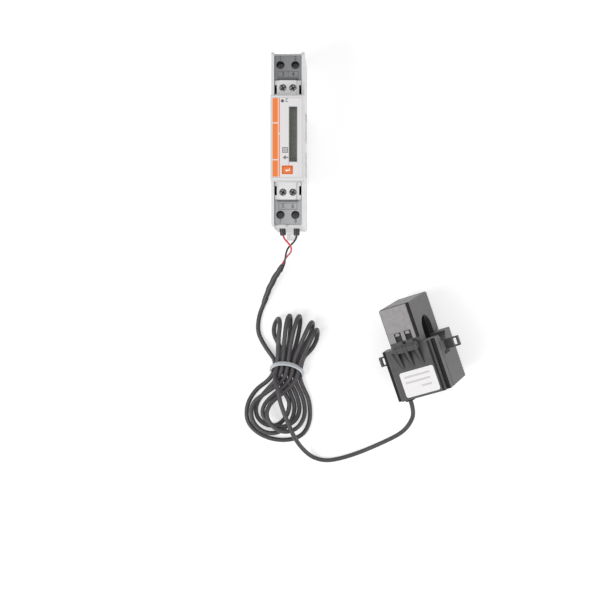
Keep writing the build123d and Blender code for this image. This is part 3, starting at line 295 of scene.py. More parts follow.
def make_materials(colours):
    """Every finish of the meter, its lead and its transformer, by name."""
    m = MATERIALS
    m["case"] = moulded("Case plastic, white", colours.case, 0.015, Specular_IOR_Level=0.4)
    m["block_white"] = moulded("Terminal plastic, white", "e6e5e5", 0.015)
    m["film"] = moulded("Printed front film", colours.film, 0.01, (0.3, 0.38), 6500, 0.000008)
    m["band"] = moulded("Orange printing ink", colours.band, 0.03, (0.34, 0.42), 6500, 0.000006)
    m["ink_grey"] = ink("Grey printing ink", "77767a")
    m["ink_dark"] = ink("Dark printing ink", "353437")
    m["ink_white"] = ink("White printing ink", "fbfbfa", 0.01, (0.35, 0.45))
    m["button"] = moulded("Orange button plastic", colours.button, 0.03, (0.35, 0.45))
    # Painted shade: near-black plates laid in the screw slots, the cap's pockets, beside the hinge ribs, on
    # the lugs and in the conductor window
    m["recess"] = moulded("Painted shade in slots and hollows", "161618", 0.1, (0.6, 0.75))
    m["zinc"] = metal("Zinc plating, passivated", "8e8c8a", (0.3, 0.5))
    m["zinc_dim"] = metal("Zinc plating in shadow", "676669", (0.4, 0.55))
    m["yellow_zinc"] = metal("Yellow zinc plating", "b9a878", (0.28, 0.42))
    m["tin"] = metal("Tin-plated copper", "c9b79a", (0.3, 0.45))
    m["aluminium"] = metal("Drawn aluminium can", "c4c6c9", (0.25, 0.4))
    m["part_black"] = moulded("Black component plastic", "202022", 0.08, (0.35, 0.5))
    m["ferrule"] = moulded("Ferrule sleeve, black", "232126", 0.1, (0.35, 0.5))
    # Painted highlight: pale grey between the black ribs, on the sleeves' cores and the crimped pins
    m["ferrule_rib_highlight"] = moulded("Ferrule sleeve, painted highlight between its ribs", "76737a", 0.1, (0.4, 0.55))
    m["board"] = moulded("Green solder mask", "1d6b3c", 0.12, (0.2, 0.3), 3000)
    m["varistor"] = moulded("Blue dip coating", "2b4f86", 0.08, (0.25, 0.35))
    m["tape"] = moulded("Yellow polyester tape", "d8b53c", 0.05, (0.25, 0.35))
    m["frame"] = moulded("Light frame plastic", "f4f4f2", 0.01, (0.5, 0.6))
    m["foil"] = moulded("Printed foil label", "dfdfdd", 0.02, (0.32, 0.45), 3600, 0.00001)
    m["core"] = metal("Ground ferrite", "3b3938", (0.4, 0.55), 1500)
    m["bobbin"] = moulded("Bobbin plastic", "d9d4c6", 0.03)
    m["gland"] = rubber("Gland rubber", "161617", 0.1, (0.6, 0.75))
    m["pad"] = rubber("Foam pad", "3c3c3e", 0.12, (0.8, 0.95), 1500, 0.0001)
    m["red_wire"] = rubber("Red wire insulation", colours.red, 0.08, (0.35, 0.45))
    m["black_wire"] = rubber("Black wire insulation", "1b1b1d", 0.1, (0.35, 0.45))
    m["tie"] = moulded("Nylon tie", colours.tie, 0.02, (0.35, 0.45), Subsurface_Weight=0.15)
    m["upper_block"] = block_plastic("Terminal plastic, dark grey", colours.upper_block)
    m["lower_block"] = block_plastic("Terminal plastic, light grey", colours.lower_block)
    m["display"] = liquid_crystal(colours.display)
    m["window"] = coated("Clear window", "4e5348", "5b6055", (60,), wear=(0.04, 0.1, 500), Alpha=0.16,
                         Roughness=0.06, Coat_Weight=0.4)
    m["lamp"] = coated("Pulse lamp lens", "3a3236", "5a4a50", (900,), wear=(0.1, 0.2, 900),
                       Coat_Weight=0.6, Transmission_Weight=0.15)
    m["winding"] = enamelled_winding()
    m["sheath"] = coated("Cable sheath, dark grey", rgba(colours.sheath, 0.78), rgba(colours.sheath, 1.25),
                         (260, 5.0), (1900, 0.00005, 0.4), (0.36, 0.56, 350), Sheen_Weight=0.12,
                         Sheen_Roughness=0.4)
    m["shrink"] = coated("Heat-shrink sleeve", "1c1b1c", "3a3839", (700,), (900, 0.00025, 0.5),
                         (0.3, 0.5, 500), (1.6, 0.35, 1.6), Coat_Weight=0.2, Coat_Roughness=0.3)
    m["housing"] = eroded_housing("Transformer plastic, spark-eroded", colours.housing, 0.00005)
    # Painted shade: a darker copy of the housing, for the edge strips and the steps
    edge = tuple(c * 0.3 for c in colours.housing)
    m["housing_edge_shade"] = eroded_housing("Transformer plastic, painted edge shade", edge, 0.00001, gloss=0.15,
                                       bloom=0.0)
    m["label"] = coated("Transformer label, white", "f2f0f1", "fbf9fa", (500, 5.0), (2500, 0.00002, 0.3),
                        (0.45, 0.6, 300), Specular_IOR_Level=0.3)
    # Painted sheen: a light grey copy of the black housing, for the front plates and the latch tabs
    m["housing_sheen"] = eroded_housing("Transformer plastic, front plate with painted sheen", "969395", 0.0001, 0.3)
    m["ink_pale"] = ink("Pale grey printing ink", "d2cfd2", 0.04, (0.45, 0.55))
    m["film_edge"] = ink("Edge of the film", "cfcdd2", 0.02, (0.35, 0.45))
    m["mark_upper"] = moulded("Moulded marks, upper block", "4c4d4f", 0.05)
    m["mark_lower"] = moulded("Moulded marks, lower block", "6c6d70", 0.05)
    m["upper_slit"] = moulded("Shaded slit, upper block", "58595b", 0.06)
    m["lower_slit"] = moulded("Shaded slit, lower block", "747577", 0.06)


def block_plastic(name, base):
    """Grey terminal plastic with painted shade towards the left wall, a painted reflection towards the right
    and a few darker specks.
    """
    material, tree, shader, place = shade(name, Roughness=0.5)
    axes = add(tree, "ShaderNodeSeparateXYZ", {"Vector": place})
    across = ranged(tree, axes.outputs["X"], -0.007, 0.007)
    # Painted shade towards the left wall, painted reflection towards the right
    shade_and_reflection = blend(tree, rgba(base, 0.86), rgba(base, 1.22), across)
    noise = add(tree, "ShaderNodeTexNoise", {"Scale": 320.0, "Detail": 3.0, "Vector": place})
    fade = ranged(tree, noise, 0.45, 0.8, high=0.35)
    tree.links.new(blend(tree, shade_and_reflection, rgba(base, 0.8), fade), shader.inputs["Base Color"])
    grained(tree, shader, place, 3800, 0.00002, 0.35)
    return material


def liquid_crystal(base):
    """An unlit display: olive grey, with a painted reflection to the right and painted shade at its ends."""
    material, tree, shader, place = shade("Liquid crystal, unlit", Roughness=0.22, Specular_IOR_Level=0.5)
    axes = add(tree, "ShaderNodeSeparateXYZ", {"Vector": place})
    # Painted reflection: lighter towards the right
    across = ranged(tree, axes.outputs["X"], 0.0012, 0.0052)
    middle = 0.0018
    along = add(tree, "ShaderNodeMath", {0: axes.outputs["Y"], 1: -middle}, operation="ADD")
    ends = add(tree, "ShaderNodeMath", {0: along}, operation="ABSOLUTE")
    # Painted shade: darker at both ends
    end_shade = ranged(tree, ends, 0.0115, 0.0145, high=0.45)
    tone = blend(tree, rgba(base, 0.58), rgba(base, 1.4), across)
    tree.links.new(blend(tree, tone, rgba(base, 0.4), end_shade), shader.inputs["Base Color"])
    grained(tree, shader, place, 5200, 0.000004, 0.3)
    return material


def enamelled_winding():
    """Fine enamelled wire in close turns."""
    material, tree, shader, place = shade("Enamelled winding", Metallic=1.0)
    turns = add(tree, "ShaderNodeTexWave", {"Scale": 1400.0, "Distortion": 0.6, "Vector": place})
    copper = blend(tree, rgba("7c3a1c"), rgba("c0703c"), turns.outputs["Fac"])
    tree.links.new(copper, shader.inputs["Base Color"])
    raised(tree, shader, turns.outputs["Fac"], 0.00005, 0.6)
    worn(tree, shader, place, 0.25, 0.4, 400)
    return material


def eroded_housing(name, base, depth, tone=0.05, gloss=0.5, bloom=0.3):
    """Black glass-filled plastic with a spark-eroded face, which greys where light grazes it."""
    material, tree, shader, place = shade(name, Specular_IOR_Level=gloss, Sheen_Weight=bloom,
                                          Sheen_Roughness=0.55)
    mottled(tree, shader, place, rgba(base, 1 - tone), rgba(base, 1 + tone), 420, 3.0)
    coarse = add(tree, "ShaderNodeTexVoronoi", {"Scale": 2400.0, "Vector": place})
    fine = add(tree, "ShaderNodeTexNoise", {"Scale": 3600.0, "Detail": 4.0, "Vector": place})
    both = add(tree, "ShaderNodeMath", {0: coarse, 1: fine}, operation="ADD")
    raised(tree, shader, both, depth, 0.25)
    worn(tree, shader, place, 0.5, 0.6, 300)
    return material


CORNERS = ("upper_left", "upper_right", "lower_left", "lower_right")
# Finish of each CAD node, also of those that a piece replaces
NODE_FINISHES = {
    "case": ["case_left_shell", "case_right_shell", "front_cover", "rail_clip"],
    "upper_block": ["upper_terminal_block"],
    "lower_block": ["lower_terminal_block"],
    "block_white": ["upper_signal_block", "lower_signal_block"],
    "film": ["front_film"],
    "window": ["display_window"],
    "button": ["scroll_button"],
    "lamp": ["pulse_lamp", "light_pipe"],
    "zinc": ["signal_screws", "case_rivets", "ct_hinge_pin"],
    "zinc_dim": [f"{corner}_terminal_screw" for corner in CORNERS],
    "yellow_zinc": ["signal_cages"] + [f"{corner}_terminal_cage" for corner in CORNERS],
    "tin": ["terminal_bars", "signal_contacts"],
    "board": ["main_board", "display_board"],
    "part_black": ["board_header", "metering_chips", "push_switch"],
    "ferrule": ["wire_ferrules"],
    "aluminium": ["smoothing_capacitors"],
    "varistor": ["surge_varistor"],
    "tape": ["supply_transformer"],
    "display": ["display_cell"],
    "frame": ["display_backlight"],
    "foil": ["side_label"],
    "label": ["ct_label"],
    "housing": ["ct_base_shell", "ct_base_cover", "ct_cap_shell"],
    "core": ["ct_lower_core", "ct_upper_core"],
    "bobbin": ["ct_bobbin"],
    "winding": ["ct_winding"],
    "gland": ["ct_cable_gland"],
    "pad": ["ct_core_pad"],
    "red_wire": ["wire_red"],
    "black_wire": ["wire_black"],
    "shrink": ["heat_shrink_sleeve"],
    "sheath": ["cable_meter_lead", "cable_hank", "cable_ct_lead"],
}


def finish_node(node, material):
    """The CAD mesh stays; only its material slots change."""
    if not node.material_slots:
        node.data.materials.append(material)
    for place in node.material_slots:
        place.material = material


def shown(name, data):
    """A new object in the scene."""
    obj = bpy.data.objects.new(name, data)
    bpy.context.scene.collection.objects.link(obj)
    return obj


def piece(name, mesh, material, body="meter", smooth=None):
    """A new object of this mesh, riding on its body."""
    obj = shown(name, mesh)
    mesh.materials.clear()
    mesh.materials.append(MATERIALS[material])
    if smooth is not None:
        bpy.context.view_layer.objects.active = obj
        obj.select_set(True)
        bpy.ops.object.shade_smooth_by_angle(angle=math.radians(smooth))
        obj.select_set(False)
    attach(obj, body)
    return obj


def mesh_of(shape, name):
    """The finished shape as a mesh."""
    mesh = bpy.data.meshes.new(name)
    shape.to_mesh(mesh)
    shape.free()
    return mesh


def skin(shape, rings):
    """Faces between each ring of corners and the next one."""
    for lower, upper in zip(rings, rings[1:]):
        for k in range(len(lower)):
            j = (k + 1) % len(lower)
            shape.faces.new((lower[k], lower[j], upper[j], upper[k]))


def angles(count):
    return [2 * math.pi * k / count for k in range(count)]


def plate(outline, low, high, bevel=0.0):
    """A flat plate of this outline between two heights, its top edge eased."""
    shape = bmesh.new()
    levels = [(outline, low), (outline, high - bevel)]
    if bevel:
        count = len(outline)
        centre = Vector((sum(p[0] for p in outline) / count, sum(p[1] for p in outline) / count))
        inner = [tuple(Vector(p) + (centre - Vector(p)).normalized() * bevel) for p in outline]
        levels.append((inner, high))
    rings = [[shape.verts.new((x, y, z)) for x, y in level] for level, z in levels]
    skin(shape, rings)
    shape.faces.new(rings[-1])
    shape.faces.new(rings[0][::-1])
    bmesh.ops.recalc_face_normals(shape, faces=shape.faces)
    return mesh_of(shape, "plate")


def box_outline(x0, x1, y0, y1):
    return [(x0, y0), (x1, y0), (x1, y1), (x0, y1)]


def tile(x0, x1, y0, y1, low, high, bevel=0.0):
    """A rectangular plate."""
    return plate(box_outline(x0, x1, y0, y1), low, high, bevel)


def shallow(outline, top, thick=0.00003):
    """A print or inlay that stands a hair above the face under it."""
    return plate(outline, top - 2 * thick, top + thick)


def bar(x0, x1, y0, y1, top):
    """A printed rectangle."""
    return shallow(box_outline(x0, x1, y0, y1), top)


def frame_lines(x0, x1, y0, y1, top, line):
    """The four thin lines of a box."""
    return [bar(x0, x1, y1 - line, y1, top), bar(x0, x1, y0, y0 + line, top),
            bar(x0, x0 + line, y0 + line, y1 - line, top), bar(x1 - line, x1, y0 + line, y1 - line, top)]


def rounded(x0, x1, y0, y1, radius, steps=5):
    """Outline of a rectangle with rounded corners."""
    points = []
    for cx, cy, start in ((x1 - radius, y1 - radius, 0), (x0 + radius, y1 - radius, 90),
                          (x0 + radius, y0 + radius, 180), (x1 - radius, y0 + radius, 270)):
        for k in range(steps + 1):
            a = math.radians(start + 90 * k / steps)
            points.append((cx + radius * math.cos(a), cy + radius * math.sin(a)))
    return points


def dome(x, y, base, radius, height, rings=6, sides=28):
    """A shallow dome, closed underneath."""
    shape = bmesh.new()
    loops = []
    for k in range(rings):
        rise = math.pi / 2 * k / rings
        out, z = radius * math.cos(rise), base + height * math.sin(rise)
        loops.append([shape.verts.new((x + out * math.cos(t), y + out * math.sin(t), z))
                      for t in angles(sides)])
    top = shape.verts.new((x, y, base + height))
    skin(shape, loops)
    for i in range(sides):
        shape.faces.new((loops[-1][i], loops[-1][(i + 1) % sides], top))
    shape.faces.new(loops[0][::-1])
    return mesh_of(shape, "dome")


def tube(places, radii, sides):
    """A closed round bar through these places with these radii."""
    shape = bmesh.new()
    loops = []
    for i, (place, radius) in enumerate(zip(places, radii)):
        ahead = places[min(i + 1, len(places) - 1)] - places[max(i - 1, 0)]
        turn = ahead.to_track_quat("Z", "Y")
        loops.append([shape.verts.new(place + turn @ Vector((radius * math.cos(t), radius * math.sin(t), 0)))
                      for t in angles(sides)])
    skin(shape, loops)
    shape.faces.new(loops[0][::-1])
    shape.faces.new(loops[-1])
    return mesh_of(shape, "tube")


def join(meshes):
    """One mesh of several."""
    shape = bmesh.new()
    for mesh in meshes:
        shape.from_mesh(mesh)
        bpy.data.meshes.remove(mesh)
    return mesh_of(shape, "joined")


def evaluated_mesh(obj):
    """The plain mesh that an object shows, its modifiers or its curve worked out."""
    bpy.context.view_layer.update()
    return bpy.data.meshes.new_from_object(obj.evaluated_get(bpy.context.evaluated_depsgraph_get()))


def figure(text, x, y, z, height, thick=0.00004):
    """A printed figure as a thin plate, centred on x, y. Its strokes are drawn slightly bold."""
    share_of_size, bolder = 0.73, 0.035
    curve = bpy.data.curves.new("figure", "FONT")
    curve.body = text
    curve.size = height / share_of_size
    curve.extrude = thick
    curve.offset = height * bolder
    curve.align_x, curve.align_y = "CENTER", "CENTER"
    obj = shown("figure", curve)
    mesh = evaluated_mesh(obj)
    mesh.transform(Matrix.Translation((x, y, z)))
    bpy.data.objects.remove(obj)
    bpy.data.curves.remove(curve)
    return mesh


def cord_curve(name, route, diameter, material):
    """A smooth cord along its route's points."""
    curve = bpy.data.curves.new(name, "CURVE")
    curve.dimensions = "3D"
    spline = curve.splines.new("NURBS")
    spline.points.add(len(route) - 1)
    for point, place in zip(spline.points, route):
        point.co = (*place, 1.0)
    spline.order_u = 3
    spline.use_endpoint_u = True
    spline.resolution_u = 6
    curve.bevel_depth = diameter / 2
    curve.bevel_resolution = 3
    curve.use_fill_caps = True
    curve.materials.append(MATERIALS[material])
    obj = shown(name, curve)
    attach(obj, "meter")
    return obj


def geometry_tree(name, inputs):
    """An empty Geometry Nodes tree with these named inputs, their sockets and their identifiers."""
    tree = bpy.data.node_groups.new(name, "GeometryNodeTree")
    identifiers = {}
    for label, kind, default in inputs:
        socket = tree.interface.new_socket(label, in_out="INPUT", socket_type=f"NodeSocket{kind}")
        socket.default_value = default
        identifiers[label] = socket.identifier
    tree.interface.new_socket("Geometry", in_out="OUTPUT", socket_type="NodeSocketGeometry")
    group = tree.nodes.new("NodeGroupInput")
    return tree, group.outputs, identifiers


def finish_tree(tree, geometry, material):
    """Realize Instances, Set Material and the output."""
    real = add(tree, "GeometryNodeRealizeInstances", {"Geometry": geometry})
    painted = add(tree, "GeometryNodeSetMaterial", {"Material": MATERIALS[material],
                  "Geometry": real})
    add(tree, "NodeGroupOutput", {"Geometry": painted})


def grown(tree, identifiers, values):
    """The plain mesh that a tree makes with these values."""
    obj = shown("grown", bpy.data.meshes.new("grown"))
    modifier = obj.modifiers.new("grow", "NODES")
    modifier.node_group = tree
    for label, value in values.items():
        modifier[identifiers[label]] = value
    mesh = evaluated_mesh(obj)
    obj.modifiers.remove(modifier)
    bpy.data.objects.remove(obj)
    return mesh


class MeterPiece:
    """What every operator shares"""
    bl_options = {"REGISTER", "UNDO"}

    def execute(self, context):
        self.build(context.scene)
        return {"FINISHED"}


# Each lamp's direction from the object, distance, side and power
LAMPS = {
    "softbox": ((-0.585, -0.356, 0.717), 0.9, 0.55, 3.9),
    "overhead": ((0.25, 0.3, 0.92), 1.1, 0.9, 2.0),
    "fill": ((0.92, -0.28, 0.28), 1.2, 0.8, 5.0),
}
LAMP_AIM = Vector((0.03, -0.09, 0.01))


def place_camera(scene):
    """The photograph's view, straight down on the meter's front."""
    camera = shown("camera", bpy.data.cameras.new("camera"))
    camera.location = (0.0289, -0.0855, 0.7896)
    camera.data.lens = 83.46
    camera.data.sensor_width = 36
    camera.data.shift_x = -0.07
    camera.data.clip_start, camera.data.clip_end = 0.01, 10
    scene.camera = camera


def hang_lamps():
    for name, (direction, distance, side, power) in LAMPS.items():
        lamp = bpy.data.lights.new(name, "AREA")
        lamp.shape = "SQUARE"
        lamp.size = side
        lamp.energy = power
        light = shown(name, lamp)
        light.location = LAMP_AIM + Vector(direction).normalized() * distance
        light.rotation_euler = Vector(direction).to_track_quat("Z", "Y").to_euler()


def seen_rays(tree):
    """1 for what the camera sees, also by reflection or through clear plastic."""
    path = add(tree, "ShaderNodeLightPath")
    seen = path.outputs["Is Camera Ray"]
    for also in ("Is Glossy Ray", "Is Transmission Ray"):
        seen = add(tree, "ShaderNodeMath", {0: seen, 1: path.outputs[also]}, operation="MAXIMUM")
    return seen


def light_world(scene):
    """A white surround that lights the object softly."""
    world = bpy.data.worlds.new("studio")
    scene.world = world
    world.use_nodes = True
    tree = world.node_tree
    tree.nodes.clear()
    room = add(tree, "ShaderNodeBackground", {"Color": (1, 1, 1, 1), "Strength": 0.4})
    white = add(tree, "ShaderNodeBackground", {"Color": (1, 1, 1, 1), "Strength": 1.0})
    both = add(tree, "ShaderNodeMixShader", {0: seen_rays(tree), 1: room, 2: white})
    add(tree, "ShaderNodeOutputWorld", {"Surface": both})


def paper_backdrop():
    """White paper, lifted a little where it is seen."""
    material = bpy.data.materials.new("Paper backdrop")
    material.use_nodes = True
    tree = material.node_tree
    tree.nodes.clear()
    paper = add(tree, "ShaderNodeBsdfDiffuse", {"Color": (0.86, 0.86, 0.86, 1)})
    lift = add(tree, "ShaderNodeEmission", {"Color": (1, 1, 1, 1), "Strength": 0.42})
    dark = add(tree, "ShaderNodeEmission", {"Strength": 0.0})
    glow = add(tree, "ShaderNodeMixShader", {0: seen_rays(tree), 1: dark, 2: lift})
    whole = add(tree, "ShaderNodeAddShader", {0: paper, 1: glow})
    add(tree, "ShaderNodeOutputMaterial", {"Surface": whole})
    return material


def lay_floor(scene):
    half = scene.meter_sizes.floor / 2
    mesh = bpy.data.meshes.new("floor")
    corners = [(x, y, TABLE) for x, y in box_outline(-half, half, -half, half)]
    mesh.from_pydata(corners, [], [(0, 1, 2, 3)])
    mesh.materials.append(paper_backdrop())
    shown("floor", mesh)


class METER_OT_stage(MeterPiece, bpy.types.Operator):
    """Camera, floor, lamps and backdrop"""
    bl_idname = "meter.stage"
    bl_label = "Stage"

    def build(self, scene):
        scene.view_settings.view_transform = "Standard"
        place_camera(scene)
        hang_lamps()
        light_world(scene)
        lay_floor(scene)


class METER_OT_wires(MeterPiece, bpy.types.Operator):
    """Red and black wires from the lower terminals into the heat-shrink sleeve"""
    bl_idname = "meter.wires"
    bl_label = "Wires"

    def build(self, scene):
        thick = scene.meter_sizes.wire
        for name, node, route, real in (("red_wire", "wire_red", RED_ROUTE, 0.0386),
                                        ("black_wire", "wire_black", BLACK_ROUTE, 0.0359)):
            wire = cord_curve(name, route, thick, name)
            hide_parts(node)


def hank_place():
    """Where the hank's own frame lies."""
    return Matrix.Translation((*HANK_CENTRE, 0)) @ Matrix.Rotation(math.radians(HANK_LEAN), 4, "Z")


class METER_OT_cable(MeterPiece, bpy.types.Operator):
    """Sheathed lead from the heat-shrink sleeve through the hank to the transformer"""
    bl_idname = "meter.cable"
    bl_label = "Cable"

    def build(self, scene):
        place = hank_place()
        hank = [tuple(place @ Vector(point)) for strand in HANK_STRANDS for point in in_metres(strand)]
        thick = scene.meter_sizes.cable
        cable = cord_curve("cable", METER_LEAD + hank + TRANSFORMER_LEAD, thick, "sheath")
        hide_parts("cable_meter_lead", "cable_hank", "cable_ct_lead")


class METER_OT_sleeve(MeterPiece, bpy.types.Operator):
    """Heat-shrink sleeve, necked where it closes on the wires and lumpy over their joints"""
    bl_idname = "meter.sleeve"
    bl_label = "Heat-shrink sleeve"

    def build(self, scene):
        start, end = Vector((-0.0042, -0.0652, 0.0033)), Vector((-0.0160, -0.0880, -0.00535))
        bow, wander = 0.0011, 0.00025
        # Radius in hundredths of a millimetre and sideways drift as a share of the wander, at even steps
        radii = [112, 128, 140, 152, 148, 160, 172, 164, 170, 176, 166,
                 172, 162, 170, 160, 164, 154, 158, 148, 150, 142, 136]
        drift = [0.0, 0.2, 0.5, 0.3, -0.3, -0.5, 0.1, 0.6, 0.4, -0.2, -0.6,
                 -0.3, 0.3, 0.6, 0.2, -0.4, -0.3, 0.2, 0.3, 0.0, -0.1, 0.0]
        side = (end - start).normalized().cross(Vector((0, 0, 1))).normalized()
        places = []
        for i, shift in enumerate(drift):
            share = i / (len(drift) - 1)
            places.append(start.lerp(end, share) + side * (shift * wander + bow * math.sin(math.pi * share)))
        mesh = tube(places, [radius / 100000 for radius in radii], 36)
        sleeve = piece("shrunk_sleeve", mesh, "shrink", smooth=60)
        rounding = sleeve.modifiers.new("rounding", "SUBSURF")
        rounding.levels = rounding.render_levels = 1
        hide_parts("heat_shrink_sleeve")


class METER_OT_tie(MeterPiece, bpy.types.Operator):
    """Toothed nylon strap that arches over the waist of the hank"""
    bl_idname = "meter.tie"
    bl_label = "Tie"

    def build(self, scene):
        pitch = scene.meter_sizes.tooth_pitch
        half_width, rise, fall = 0.0094, 0.0044, 0.0038
        half_strap, half_thick, tooth = 0.0012, 0.0004, 0.00012
        middle_x, middle_y, middle_z = -0.00075, -0.0018, -0.0025
        slope, lean_height = 1.14, 0.002
        steps = 2 * round(math.pi * half_width / pitch)
        place = hank_place()
        shape = bmesh.new()
        loops = []
        for k, angle in enumerate(angles(steps)):
            c, s = math.cos(angle), math.sin(angle)
            # An elliptic arch above, and below it a flatter bow that is squarer than an ellipse
            power, height = (2.0, rise) if s > 0 else (3.0, fall)
            size = (abs(c) ** power + abs(s) ** power) ** (-1 / power)
            x, lift = half_width * c * size, height * s * size
            share = min(1.0, max(0.0, lift / lean_height))
            lean = share * share * (3 - 2 * share) * slope
            centre = Vector((middle_x + x, middle_y + max(0.0, lift) * slope, middle_z + lift))
            across = Vector((0, 1, -lean)).normalized()
            out = Vector((c * fall, 0, s * half_width))
            out = (out - across * out.dot(across)).normalized()
            grow = half_thick + (tooth if k % 2 else 0.0)
            section = box_outline(-half_strap, half_strap, -half_thick, grow)
            loops.append([shape.verts.new(place @ (centre + across * w + out * o)) for w, o in section])
        skin(shape, loops + loops[:1])
        bmesh.ops.recalc_face_normals(shape, faces=shape.faces)
        tie = piece("hank_tie", mesh_of(shape, "tie"), "tie", smooth=30)
        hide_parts("cable_tie")


def fluted_tree():
    """Round ribs in a ring, laid along the meter and turned by their lean."""
    tree, given, ids = geometry_tree("Fluted sleeve", (
        ("Radius", "Float", 0.00128), ("Rib radius", "Float", 0.00038), ("Length", "Float", 0.0062),
        ("Count", "Int", 8), ("Lean", "Float", 0.0), ("Middle", "Vector", (0, 0, 0))))
    ring = add(tree, "GeometryNodeMeshCircle", {"Vertices": given["Count"], "Radius": given["Radius"]})
    rib = add(tree, "GeometryNodeMeshCylinder", {
        "Vertices": 12, "Radius": given["Rib radius"], "Depth": given["Length"]})
    spread = add(tree, "GeometryNodeInstanceOnPoints", {"Points": ring, "Instance": rib})
    lay = add(tree, "ShaderNodeCombineXYZ", {"X": math.pi / 2, "Z": given["Lean"]})
    placed = add(tree, "GeometryNodeTransform", {
        "Geometry": spread, "Rotation": lay, "Translation": given["Middle"]})
    finish_tree(tree, placed, "ferrule")
    return tree, ids


class METER_OT_ferrules(MeterPiece, bpy.types.Operator):
    """Fluted ferrule sleeves with their crimped pins. The left one leans a little in its entry."""
    bl_idname = "meter.ferrules"
    bl_label = "Ferrules"

    def build(self, scene):
        tree, ids = fluted_tree()
        count = scene.meter_sizes.ferrule_ribs
        ribs, cores = [], []
        half_pitch, entry_y, entry_z, rib_middle = 0.004, -0.0450, 0.0260, 0.0019
        # Places along a ferrule from its entry, the radii there and the number of sides, of sleeve and pin
        parts = (((-0.0014, -0.0010, 0.0048, 0.0052), (0.0011, 0.00130, 0.00130, 0.00105), 32),
                 ((-0.0074, -0.0071, -0.0014), (0.0004, 0.00055, 0.00055), 16))
        for x, lean in ((-half_pitch, math.radians(FERRULE_LEAN)), (half_pitch, 0.0)):
            along = Vector((math.sin(lean), -math.cos(lean), 0.0))
            pivot = Vector((x, entry_y, entry_z))
            middle = tuple(pivot + along * rib_middle)
            ribs.append(grown(tree, ids, {"Middle": middle, "Lean": lean, "Count": count}))
            for stations, radii, sides in parts:
                cores.append(tube([pivot + along * station for station in stations], radii, sides))
        # The cores and pins carry the painted highlight that shows between the ribs
        core = piece("ferrule_cores", join(cores), "ferrule_rib_highlight", smooth=50)
        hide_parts("wire_ferrules")
        piece("ferrule_ribs", join(ribs), "ferrule", smooth=50)


class METER_OT_front_print(MeterPiece, bpy.types.Operator):
    """Colour band, fine line, display surround and plain symbols on the film"""
    bl_idname = "meter.front_print"
    bl_label = "Front print"

    def build(self, scene):
        top = FILM_TOP
        band = [bar(-0.00760, -0.00487, y0, y1, top)
                for y0, y1 in ((0.0080, 0.0208), (-0.0114, 0.0074), (-0.0206, -0.0120))]
        band += [bar(-0.00441, -0.00381, y0, y1, top) for y0, y1 in ((0.0022, 0.0208), (-0.0206, 0.0016))]
        piece("front_band", join(band), "band")
        boxes = frame_lines(-0.00255, 0.00045, -0.00805, -0.00505, top, 0.00045)
        boxes += frame_lines(-0.0018, -0.0003, -0.0073, -0.0058, top, 0.0004)
        pulse = [bar(-0.0011, -0.0007, -0.0115, -0.0094, top),
                 shallow([(-0.0024, -0.01045), (-0.0011, -0.0114), (-0.0011, -0.0095)], top),
                 bar(-0.0007, 0.0007, -0.01075, -0.01015, top)]
        bracket = [bar(-0.00075, -0.00035, 0.0187, 0.0206, top), bar(-0.00035, 0.0005, 0.0202, 0.0206, top),
                   bar(-0.00035, 0.0005, 0.0187, 0.0191, top)]
        piece("front_symbols", join(boxes + pulse + bracket), "ink_grey")
        leader = [bar(0.00080, 0.00100, -0.0148, -0.0124, top)]
        piece("front_leader", join(leader), "band")
        surround = frame_lines(0.00072, 0.00558, -0.01305, 0.01665, top, 0.00034)
        piece("display_surround", join(surround), "ink_pale")
        edge = frame_lines(-0.00792, 0.00792, -0.02102, 0.02102, top, 0.00014)
        edge.append(bar(0.0062, 0.0063, -0.0205, 0.0205, top))
        piece("film_edge", join(edge), "film_edge")


class METER_OT_button(MeterPiece, bpy.types.Operator):
    """Crowned scroll button with a plain arrow on it"""
    bl_idname = "meter.button"
    bl_label = "Scroll button"

    def build(self, scene):
        low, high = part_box("scroll_button")
        x, y = (low.x + high.x) / 2, -0.0170
        half_x, half_y, corner, flange_height = 0.0024, 0.00182, 0.0006, 0.0007
        step, top = low.z + flange_height, high.z
        outline = rounded(x - half_x, x + half_x, y - half_y, y + half_y, corner)
        flange = tile(low.x, high.x, low.y, high.y, low.z, step, 0.0001)
        button = piece("scroll_button_cap", join([plate(outline, step, top, 0.0003), flange]), "button",
                       "scroll_button", smooth=35)
        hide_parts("scroll_button")
        lip = frame_lines(x - 0.00285, x + 0.00285, y - 0.00225, y + 0.00225, FILM_TOP, 0.0003)
        piece("button_bezel", join(lip), "button")
        arrow = [bar(x - 0.0001, x + 0.0013, y - 0.0006, y - 0.0001, top),
                 bar(x + 0.0008, x + 0.0013, y - 0.0001, y + 0.0006, top),
                 shallow([(x - 0.0012, y - 0.00035), (x - 0.0001, y - 0.0011), (x - 0.0001, y + 0.0004)],
                         top)]
        piece("button_arrow", join(arrow), "ink_white", "scroll_button")


class METER_OT_lamp(MeterPiece, bpy.types.Operator):
    """Domed lens of the pulse lamp"""
    bl_idname = "meter.lamp"
    bl_label = "Pulse lamp"

    def build(self, scene):
        lens = dome(x=-0.00245, y=0.0193, base=0.05745, radius=0.00082, height=0.0003)
        piece("pulse_lamp_lens", lens, "lamp", smooth=40)


# Each terminal's figure, its place and its share of the figures' height
UPPER_FIGURES = (("1", -0.0040, 0.0437, 1.0), ("2", 0.0040, 0.0437, 1.0),
                 ("3", -0.0026, 0.0351, 1.0), ("4", 0.0028, 0.0351, 1.0))
LOWER_FIGURES = (("5", -0.0026, -0.0354, 1.0), ("6", 0.0026, -0.0354, 1.0),
                 ("7", -0.0041, -0.0434, 0.8), ("8", 0.0041, -0.0434, 0.8))


